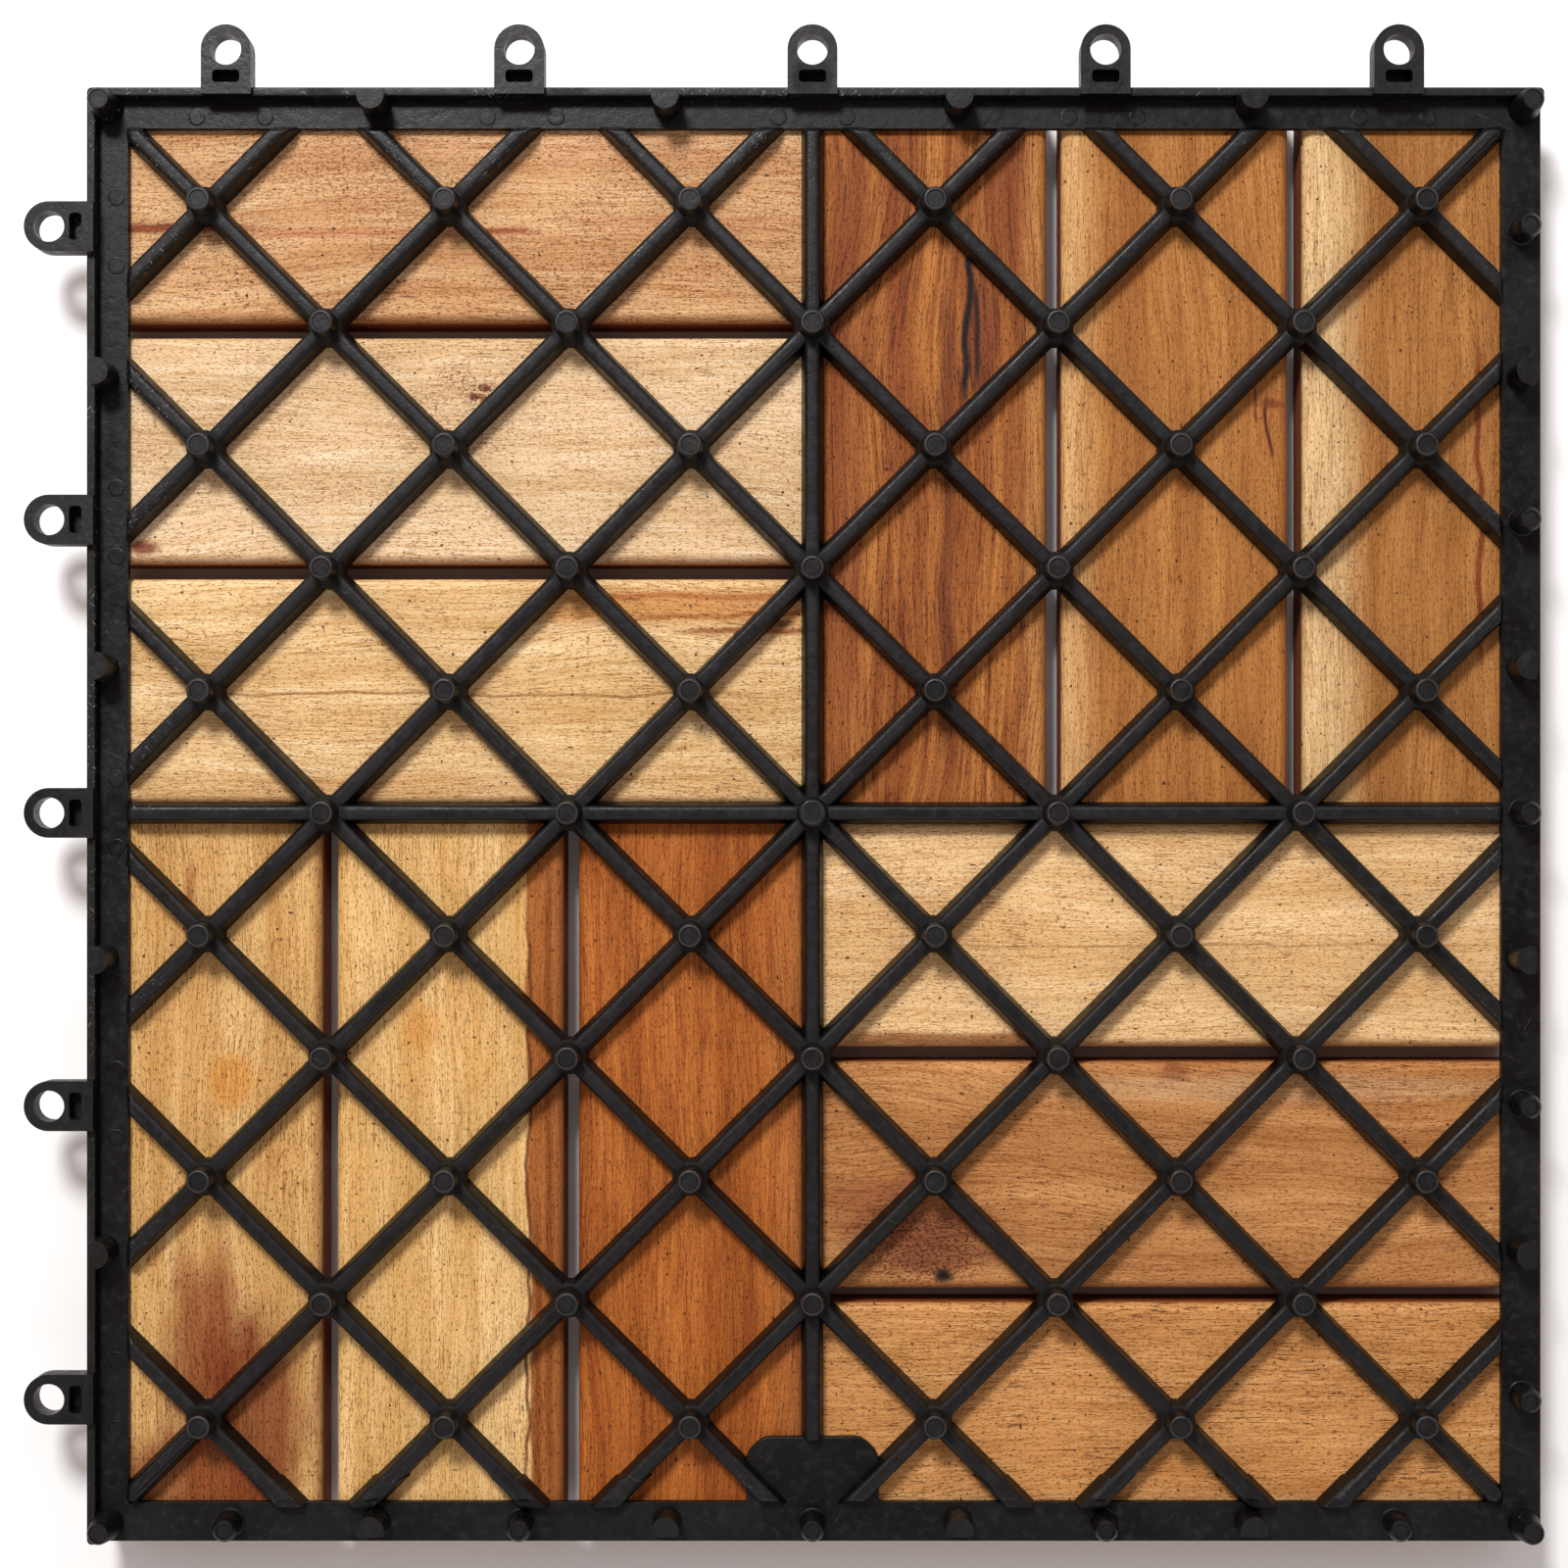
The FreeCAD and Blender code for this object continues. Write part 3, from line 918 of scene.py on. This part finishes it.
def from_crossing(tree, place):
    """Distance from the nearest crossing: crossings lie at whole numbers of two slanting counts."""
    parts = add(tree, "ShaderNodeSeparateXYZ", Vector=place)
    counts = []
    for operation in ("ADD", "SUBTRACT"):
        count = calculate(tree, "DIVIDE", calculate(tree, operation, *parts.outputs[:2]), slat_pitch)
        counts.append(calculate(tree, "SUBTRACT", count, calculate(tree, "ROUND", count)))
    squares = calculate(tree, "ADD", *(times(tree, count, count) for count in counts))
    return times(tree, calculate(tree, "SQRT", squares), slat_pitch / math.sqrt(2))


def ring(tree, distance, radius, width):
    """A soft ring about a centre."""
    off = calculate(tree, "ABSOLUTE", calculate(tree, "SUBTRACT", distance, radius))
    return between(tree, off, width, 0)


def scuff_glint_strokes(tree, place, turn):
    """Short bright strokes that run one way: scuffs where other tiles have rubbed, and painted glints."""
    marks = noise(tree, turned_place(tree, place, turn), (0.45, 3.2, 1.5), 2.0, 0.6, (turn, 0, 0))
    return between(tree, marks, 0.66, 0.71)


def black_plastic():
    """The finish of the whole moulding."""
    material, tree, shader = new_material("black_plastic")
    place = place_in_mm(tree)
    x, y, height = add(tree, "ShaderNodeSeparateXYZ", Vector=place).outputs
    normal = add(tree, "ShaderNodeNewGeometry").outputs["Normal"]
    level = between(tree, add(tree, "ShaderNodeSeparateXYZ", Vector=normal).outputs["Z"], 0.45, 0.95)
    patches = noise(tree, place, (0.06, 0.06, 0.1), 2.0, 0.6)
    mottle = noise(tree, place, (0.5, 0.5, 0.5), 3.0, 0.65)
    grain = noise(tree, place, (3.0, 3.0, 3.0), 1.0, 0.6)
    # Painted highlight: the rib crests are painted paler, where they catch the light.
    crest_highlight = between(tree, height, rib_top_z - 0.8, rib_top_z - 0.1)
    top_colour = mixed(tree, between(tree, patches, 0.35, 0.7), linear(DARK_PATCH), linear(LIGHT_PATCH))
    top_colour = mixed(tree, times(tree, crest_highlight, 0.6), top_colour, linear(CREST_HIGHLIGHT_COLOUR))
    # Paler mottle: partly uneven tone of the moulding, partly painted sheen.
    top_colour = mixed(tree, between(tree, mottle, 0.52, 0.72, 0, 0.6), top_colour, linear(MOTTLE_SHEEN_COLOUR))
    # Painted shade: faces that are not level are painted near-black.
    colour = mixed(tree, level, linear(SHADED_SIDE_COLOUR), top_colour)
    worn = calculate(tree, "MAXIMUM", scratches(tree, place, 24, 0.52), scratches(tree, place, -61, 0.55))
    colour = mixed(tree, times(tree, worn, 0.5), colour, linear(SCRATCH_COLOUR))
    # Bright strokes near the rails, stronger towards the upper left where the lamp is: scuffs and painted
    # glints.
    from_middle = calculate(tree, "MAXIMUM", calculate(tree, "ABSOLUTE", x), calculate(tree, "ABSOLUTE", y))
    upper_left = between(tree, calculate(tree, "SUBTRACT", y, x), 40, 200, 0.2, 1.0)
    scuff_glint_zone = times(tree, between(tree, from_middle, SCUFF_GLINT_STARTS, SCUFF_GLINT_FULL), upper_left)
    scuff_glint_zone = times(tree, scuff_glint_zone, between(tree, patches, 0.42, 0.56, 0.1, 1.0))
    above_rails = between(tree, height, rail_top + 0.5, rib_top_z - 0.8, 0.12, 1.0)
    below_tips = between(tree, height, rib_top_z + 0.6, rib_top_z + 0.2, 0.1, 1.0)
    scuff_glint_zone = times(tree, scuff_glint_zone, times(tree, above_rails, below_tips))
    scuffs_and_glints = calculate(tree, "MAXIMUM", scuff_glint_strokes(tree, place, 45), scuff_glint_strokes(tree, place, -45))
    scuffs_and_glints = times(tree, scuffs_and_glints, scuff_glint_zone)
    colour = mixed(tree, times(tree, scuffs_and_glints, 0.75), colour, linear(SCUFF_GLINT_COLOUR))
    crossing = from_crossing(tree, place)
    # Painted highlight: a paler ring round the rim of each foot's tip.
    tips = between(tree, height, feet_z - 0.7, feet_z - 0.4)
    rim_highlight = times(tree, ring(tree, crossing, RIM_RADIUS, 0.45), tips)
    rim_highlight = times(tree, rim_highlight, between(tree, mottle, 0.25, 0.6, 0.35, 1.0))
    colour = mixed(tree, times(tree, rim_highlight, 0.5), colour, linear(RIM_HIGHLIGHT_COLOUR))
    # Painted shade: darker round the roots of the feet, which are also made rougher there.
    low_down = between(tree, height, feet_z - 1.5, feet_z - 3)
    root_shade = times(tree, between(tree, crossing, 5.0, 3.4), low_down)
    colour = mixed(tree, times(tree, root_shade, 0.6), colour, linear(ROOT_SHADE_COLOUR))
    connect(tree, shader.inputs["Base Color"], colour)
    dull_spots = between(tree, mottle, 0.3, 0.7, 0, 0.16)
    gloss = calculate(tree, "ADD", between(tree, patches, 0.3, 0.7, 0.28, 0.42), dull_spots)
    connect(tree, shader.inputs["Roughness"], calculate(tree, "MULTIPLY_ADD", root_shade, 0.2, gloss))
    shader.inputs["Specular IOR Level"].default_value = PLASTIC_SHINE
    fine = times(tree, grain, 0.4)
    relief = calculate(tree, "MULTIPLY_ADD", mottle, 1.3, fine)
    bump = add(tree, "ShaderNodeBump", Strength=0.3, Distance=PLASTIC_RELIEF * MM, Height=relief)
    connect(tree, shader.inputs["Normal"], bump.outputs["Normal"])
    return material


grid.data.materials.clear()
grid.data.materials.append(black_plastic())

# %% [markdown]
# Wood
#
# No two boards are alike, so the boards share one recipe with their own colours. Along the grain everything
# is stretched: broad figure, fine growth lines, and pores as short dark dashes. The top is bare planed
# wood. The sides and the walking face were oiled brown before assembly. The oil stops where the edges round
# over. The rounded edge that lies in shade is painted browner, as painted shade.

# %% Wood
OIL_LOW, OIL_HIGH = 9.6, 11.1
OIL_COLOUR = "8A4A24"
OIL_TINT = (0.40, 0.17, 0.10, 1.0)
OIL_SHOWS_GRAIN = 0.6
# Painted shade: the rounded edge away from the lamp is painted browner, up to this width.
EDGE_SHADE_COLOUR = "92582E"
EDGE_SHADE_WIDTH = 2.6
NICK_COLOUR = "3A1E10"
WOOD_ROUGHNESS = 0.68
WOOD_SHINE = 0.25
WOOD_RELIEF = 0.22


def board_place(tree, node):
    """Places in a board in millimetres: along the grain, across it, and up."""
    low, high = slat_boxes[node]
    centre = [(a + b) / 2 for a, b in zip(low, high)]
    place = add(tree, "ShaderNodeTexCoord").outputs["Object"]
    move = [-c / MM for c in centre[:2]] + [0]
    parts = add(tree, "ShaderNodeSeparateXYZ", Vector=scaled(tree, place, (1 / MM, 1 / MM, 1 / MM), move))
    x, y, z = parts.outputs
    along_x = high[0] - low[0] > high[1] - low[1]
    joined_place = add(tree, "ShaderNodeCombineXYZ", X=x if along_x else y, Y=y if along_x else x, Z=z)
    return joined_place.outputs["Vector"]


def bare_wood(tree, place, look, seed):
    """Colour and relief of one board: its broad figure, its marks, and the fine grain over both."""
    move = (seed * 37.0, seed * 11.0, seed * 5.0)
    wander = noise(tree, place, (0.012, 0.03, 0.05), 1.0, 0.5, move)
    parts = add(tree, "ShaderNodeSeparateXYZ", Vector=place)
    shift = calculate(tree, "MULTIPLY_ADD", wander, look["wander"], parts.outputs["Y"])
    bent = add(tree, "ShaderNodeCombineXYZ", X=parts.outputs["X"], Y=shift, Z=parts.outputs["Z"])
    grain = bent.outputs["Vector"]
    figure = noise(tree, grain, (0.010, 0.13, 0.10), 2.0, 0.6, move)
    stripes = noise(tree, grain, (0.014, 0.55, 0.4), 2.0, 0.6, move)
    lines = noise(tree, grain, (0.08, 2.4, 1.2), 3.0, 0.7, move)
    pores = noise(tree, grain, (0.20, 3.6, 2.0), 2.0, 0.6, move)
    ticks = noise(tree, grain, (0.9, 3.6, 3.0), 1.0, 0.5, move)
    fuzz = noise(tree, place, (1.6, 2.2, 1.6), 2.0, 0.8, move)
    clumps = noise(tree, place, (0.05, 0.08, 0.1), 2.0, 0.6, move)
    nicks = noise(tree, place, (0.9, 1.1, 0.9), 0.0, 0.4, move)
    light, dark = linear(look["light"]), linear(look["dark"])
    darker, paler, in_pores = (share_of_light(look, name) for name in ("dark", "line", "pore"))
    colour = mixed(tree, between(tree, figure, 0.32, 0.68), dark, light)
    colour = mixed(tree, between(tree, stripes, 0.40, 0.68, 0, look["stripe"]), colour, dark)
    for mark in look["marks"]:
        colour = mark(tree, place, colour)
    colour = mixed(tree, between(tree, lines, 0.50, 0.64, 0, 0.8), colour, paler, "MULTIPLY")
    colour = mixed(tree, between(tree, lines, 0.48, 0.36, 0, 0.9), colour, darker, "MULTIPLY")
    patchy = times(tree, between(tree, clumps, 0.3, 0.65, 0.45, 1.0), look["rough"])
    raised = times(tree, between(tree, fuzz, 0.52, 0.62), patchy)
    sunken = times(tree, between(tree, fuzz, 0.45, 0.35), patchy)
    colour = mixed(tree, raised, colour, paler, "MULTIPLY")
    colour = mixed(tree, sunken, colour, in_pores, "MULTIPLY")
    open_pores = calculate(tree, "MULTIPLY_ADD", between(tree, clumps, 0.35, 0.65), look["spread"], pores)
    dashes = between(tree, open_pores, 0.62, 0.68)
    shown_dashes = times(tree, dashes, look["pores"])
    colour = mixed(tree, shown_dashes, colour, in_pores, "MULTIPLY")
    specks = between(tree, ticks, 0.63, 0.68)
    shown_specks = times(tree, specks, look["pores"])
    colour = mixed(tree, shown_specks, colour, in_pores, "MULTIPLY")
    dots = between(tree, nicks, 0.80, 0.84, 0, 0.9)
    colour = mixed(tree, dots, colour, linear(NICK_COLOUR))
    relief = times(tree, fuzz, 2.0 * look["rough"])
    return colour, calculate(tree, "SUBTRACT", relief, calculate(tree, "MAXIMUM", specks, dots))


def share_of_light(look, name):
    """One of a board's colours as a share of its light colour, to tint what lies under it."""
    return tuple(a / b for a, b in zip(linear(look[name]), linear(look["light"])))


def oiled(tree, place, colour, half_width, shaded_side):
    """The brown oil on the sides and the walking face, and painted shade on the rounded edge away from the
    light.
    """
    across, height = add(tree, "ShaderNodeSeparateXYZ", Vector=place).outputs[1:]
    ragged = noise(tree, place, (0.2, 0.4, 0.4), 2.0)
    from_edge = calculate(tree, "MULTIPLY_ADD", across, -shaded_side, half_width)
    ragged_edge = calculate(tree, "MULTIPLY_ADD", ragged, 0.8, from_edge)
    # Painted shade: a browner band along the rounded edge that faces away from the lamp.
    edge_shade = between(tree, ragged_edge, EDGE_SHADE_WIDTH + 0.4, 0.8, 0, 0.55)
    tinted = mixed(tree, edge_shade, colour, linear(EDGE_SHADE_COLOUR))
    edge = calculate(tree, "MULTIPLY_ADD", ragged, 0.9, height)
    bare = between(tree, edge, OIL_LOW + 0.45, OIL_HIGH + 0.45)
    soaked = mixed(tree, 1.0, colour, OIL_TINT, "MULTIPLY")
    oil = mixed(tree, OIL_SHOWS_GRAIN, linear(OIL_COLOUR), soaked)
    return mixed(tree, bare, oil, tinted)


def wood(node, look, seed):
    """The finish of one board."""
    material, tree, shader = new_material(node.replace("slat", "wood"))
    place = board_place(tree, node)
    colour, relief = bare_wood(tree, place, look, seed)
    low, high = slat_boxes[node]
    sizes = [(b - a) / MM for a, b in zip(low[:2], high[:2])]
    shaded_side = -1 if sizes[0] > sizes[1] else 1
    connect(tree, shader.inputs["Base Color"], oiled(tree, place, colour, min(sizes) / 2, shaded_side))
    shader.inputs["Roughness"].default_value = WOOD_ROUGHNESS
    shader.inputs["Specular IOR Level"].default_value = WOOD_SHINE
    bump = add(tree, "ShaderNodeBump", Strength=0.8, Distance=WOOD_RELIEF * MM, Height=relief)
    connect(tree, shader.inputs["Normal"], bump.outputs["Normal"])
    return material


# %% [markdown]
# Marks in the boards
#
# Stains, knots, streaks and cracks are what tells the boards apart. Each is a mask drawn about a place in
# the board, along and across the grain, with a ragged edge from noise, through which another colour shows.

# %% Marks
def from_centre(tree, place, along, across, length, width):
    """Distance from the centre of an oval, which is 1 on the oval itself."""
    offset = scaled(tree, place, (1 / length, 1 / width, 0), (-along / length, -across / width, 0))
    return add(tree, "ShaderNodeVectorMath", {"operation": "LENGTH"}, Vector=offset).outputs["Value"]


def blot(along, across, length, width, colour, strength=0.8, ragged=0.5):
    """A soft round stain."""
    def paint(tree, place, under):
        distance = from_centre(tree, place, along, across, length, width)
        edge = calculate(tree, "MULTIPLY_ADD", noise(tree, place, (0.06, 0.16, 0.1), 3.0), ragged, distance)
        mask = between(tree, edge, 1.0 + ragged / 2, 0.35 + ragged / 2, 0, strength)
        return mixed(tree, mask, under, linear(colour))
    return paint


def roughened(along, across, length, width, colour, strength=0.8):
    """A patch where the plane tore the fibres: speckled rather than evenly coloured."""
    def paint(tree, place, under):
        distance = from_centre(tree, place, along, across, length, width)
        patch = between(tree, distance, 1.2, 0.5, 0, strength)
        fibres = noise(tree, place, (1.3, 1.9, 1.0), 2.0, 0.7, (along, 0, 0))
        torn = times(tree, patch, between(tree, fibres, 0.50, 0.58))
        return mixed(tree, torn, under, linear(colour))
    return paint


def streak(across, start, end, width, colour, strength=0.8, wander=2.0):
    """A line along the grain that wanders a little and fades out at both ends."""
    def paint(tree, place, under):
        parts = add(tree, "ShaderNodeSeparateXYZ", Vector=place)
        drift = noise(tree, place, (0.05, 0, 0), 2.0, 0.6, (across, across, 0))
        line = calculate(tree, "MULTIPLY_ADD", drift, wander, parts.outputs["Y"])
        distance = calculate(tree, "ABSOLUTE", calculate(tree, "SUBTRACT", line, across + wander / 2))
        mask = between(tree, distance, width, width * 0.2, 0, strength)
        fade = (end - start) * 0.2
        entry = between(tree, parts.outputs["X"], start, start + fade)
        leaving = between(tree, parts.outputs["X"], end, end - fade)
        mask = times(tree, mask, times(tree, entry, leaving))
        return mixed(tree, mask, under, linear(colour))
    return paint


def edge_band(across, soft, colour, strength=0.85, wander=3.0, side=1):
    """Another colour on one side of a line along the grain, as heartwood beside sapwood."""
    def paint(tree, place, under):
        parts = add(tree, "ShaderNodeSeparateXYZ", Vector=place)
        drift = noise(tree, place, (0.03, 0.02, 0), 2.0, 0.55, (across, 0, 0))
        line = calculate(tree, "MULTIPLY_ADD", drift, wander, parts.outputs["Y"])
        start = across + wander / 2
        mask = between(tree, line, start - side * soft, start + side * soft, 0, strength)
        return mixed(tree, mask, under, linear(colour))
    return paint


# %% [markdown]
# The twelve boards
#
# The two pale boards at the upper left, the red-brown one at the top and the orange one at the bottom give
# the tile its pattern. Marks are placed from the centre of their board, along the grain (to the right or
# up) and across it.

# %% The boards' looks
LOOKS = {
    "slat_top_left_1": dict(
        light="E0B37F", dark="C68F5C", line="ECC596", pore="7A4525",
        pores=0.6, wander=14, stripe=0.35, rough=0.8, spread=0.06,
        marks=[
            streak(-4.0, -78, -38, 1.5, "8A3C1E", 0.95), streak(-5.0, -50, 24, 1.8, "BC764A", 0.7),
            streak(-4.4, 2, 18, 0.9, "A2532E", 0.8), streak(-3.0, 20, 76, 3.0, "C88A5C", 0.5),
            blot(20, 14, 60, 6, "D39A72", 0.35), roughened(-22, 10, 18, 11, "9A5A38", 0.7)]),
    "slat_top_left_2": dict(
        light="EDC89B", dark="D9B17F", line="F6DCB8", pore="895930",
        pores=0.6, wander=10, stripe=0.3, rough=0.55, spread=0.05,
        marks=[
            blot(-63, -20, 5, 2.0, "7E2F1A", 0.9, 0.2), blot(5.0, 11.0, 1.7, 1.1, "6E2E16", 0.95, 1.2),
            blot(7.4, 12.8, 1.5, 1.2, "6E2E16", 0.95, 1.2), blot(7.0, 10.4, 1.0, 1.3, "7A3A1C", 0.9, 1.2),
            roughened(6.4, 11.6, 4.4, 3.0, "5A2412", 1.0), roughened(1, 15, 4.4, 3.0, "7E4526", 0.8),
            roughened(2, 6, 16, 10, "A06A3C", 0.5)]),
    "slat_top_left_3": dict(
        light="F2CB93", dark="D9AB6F", line="FDE1B1", pore="965C30",
        pores=0.65, wander=16, stripe=0.4, rough=0.5, spread=0.06,
        marks=[
            streak(-0.4, -73, 73, 0.5, "A06A38", 0.8, 3.0), streak(18.0, 12, 84, 5.5, "C8823C", 0.7, 4.0),
            streak(19.5, 20, 84, 1.0, "B0642C", 0.8, 3.0), streak(15.5, 32, 84, 0.8, "A8602A", 0.8, 5.0),
            streak(12.5, 44, 84, 1.0, "96501F", 0.85, 4.0), blot(66, 14, 6, 1.5, "5E2410", 0.8, 0.9),
            blot(-10, -19, 50, 4, "C98F52", 0.5)]),
    "slat_top_right_1": dict(
        light="BD7736", dark="8A4716", line="C98542", pore="4A220C",
        pores=0.55, wander=18, stripe=0.85, rough=0.3, spread=0.06,
        marks=[
            streak(-17, -75, 75, 5.0, "84401A", 0.6, 4.0), streak(-8, -20, 75, 3.5, "843E16", 0.7, 5.0),
            streak(3.0, -75, 40, 2.4, "642A10", 0.75, 3.0), blot(58, 16, 30, 8, "7C3C18", 0.7, 0.8),
            blot(22, 10, 26, 4.5, "6E3014", 0.75, 0.8), edge_band(19, 3, "C58A4C", 0.6),
            streak(6.8, 6, 50, 1.2, "150805", 1.0, 4.0), streak(9.0, 12, 36, 0.9, "1E0C06", 0.9, 3.0)]),
    "slat_top_right_2": dict(
        light="B87A3B", dark="A0622A", line="C48746", pore="6F3815",
        pores=0.55, wander=10, stripe=0.5, rough=0.35, spread=0.06,
        marks=[
            edge_band(-18, 4.5, "DEAF74", 0.7, 3.0, -1), streak(19.4, -3, 13, 0.6, "5A2410", 0.95, 7.0),
            blot(9.5, 20, 1.4, 3.6, "743416", 0.8, 1.8), streak(16.5, 5, 14, 0.5, "6A3016", 0.9, 6.0)]),
    "slat_top_right_3": dict(
        light="B77B3E", dark="9E642C", line="C28B4D", pore="6E3816",
        pores=0.55, wander=12, stripe=0.5, rough=0.35, spread=0.06,
        marks=[
            edge_band(-14, 5.5, "E4BE86", 0.8, 4.0, -1), streak(12.6, -50, 30, 1.0, "7C3413", 0.9, 5.0)]),
    "slat_bottom_left_1": dict(
        light="E7B976", dark="D09C59", line="F2CA8C", pore="7C4820",
        pores=0.7, wander=10, stripe=0.5, rough=0.45, spread=0.06,
        marks=[
            blot(19, 5, 8, 6.5, "D0842C", 0.7, 0.6), blot(-34, 0, 26, 13, "904A20", 0.85, 0.8),
            blot(-50, 8, 30, 18, "80360F", 0.85, 0.8), blot(-66, -6, 18, 26, "8C4014", 0.8, 0.6),
            streak(-3.5, 40, 66, 1.6, "A4602C", 0.7, 5.0)]),
    "slat_bottom_left_2": dict(
        light="F2C686", dark="DCA963", line="FDD99C", pore="885329",
        pores=0.65, wander=10, stripe=0.4, rough=0.45, spread=0.06,
        marks=[
            edge_band(16.0, 0.5, "A45A20", 0.95, 6.0), streak(16.2, -82, 70, 0.6, "6E3410", 0.85, 6.0),
            streak(20.5, -82, 82, 1.2, "80420F", 0.8, 3.0), streak(18.0, -82, 0, 1.2, "7C400F", 0.7, 3.0),
            blot(30, -6, 7, 6, "D48C3C", 0.6, 0.8)]),
    "slat_bottom_left_3": dict(
        light="BE6B2A", dark="9A4D14", line="CD8137", pore="4F220A",
        pores=0.5, wander=10, stripe=0.5, rough=0.3, spread=0.06,
        marks=[
            edge_band(17, 3, "A9622F", 0.5)]),
    "slat_bottom_right_1": dict(
        light="F3C88F", dark="E0B075", line="FEDBA9", pore="8C552A",
        pores=0.6, wander=12, stripe=0.3, rough=0.5, spread=0.06,
        marks=[
            streak(-2.4, -73, 73, 0.4, "B98953", 0.8, 2.0),
            streak(-21.4, -72, -22, 1.9, "965C2C", 0.9, 2.0)]),
    "slat_bottom_right_2": dict(
        light="D09257", dark="B2743D", line="DDA369", pore="6B3918",
        pores=0.6, wander=18, stripe=0.5, rough=0.4, spread=0.06,
        marks=[
            blot(-54, -12, 22, 15, "965430", 0.8, 1.6), blot(-50, -16, 13, 8, "74391C", 0.6, 1.6),
            roughened(-52, -15, 17, 10, "3E180A", 0.8), blot(-47.5, -20.8, 3.4, 2.4, "160805", 1.0, 1.0),
            blot(0, 21, 5, 3.4, "8C4A1E", 0.8, 0.8), blot(20, 18, 70, 4, "D8AE80", 0.4)]),
    "slat_bottom_right_3": dict(
        light="DA9C5C", dark="C28244", line="E7AF75", pore="653818",
        pores=0.75, wander=8, stripe=0.5, rough=0.4, spread=0.07,
        marks=[
            edge_band(-17, 3, "E0B97E", 0.6, 3.0, -1)]),
}
for seed, (node, board) in enumerate(boards.items()):
    board.data.materials.append(wood(node, LOOKS[node], seed + 1))
print("woods:", len(LOOKS))
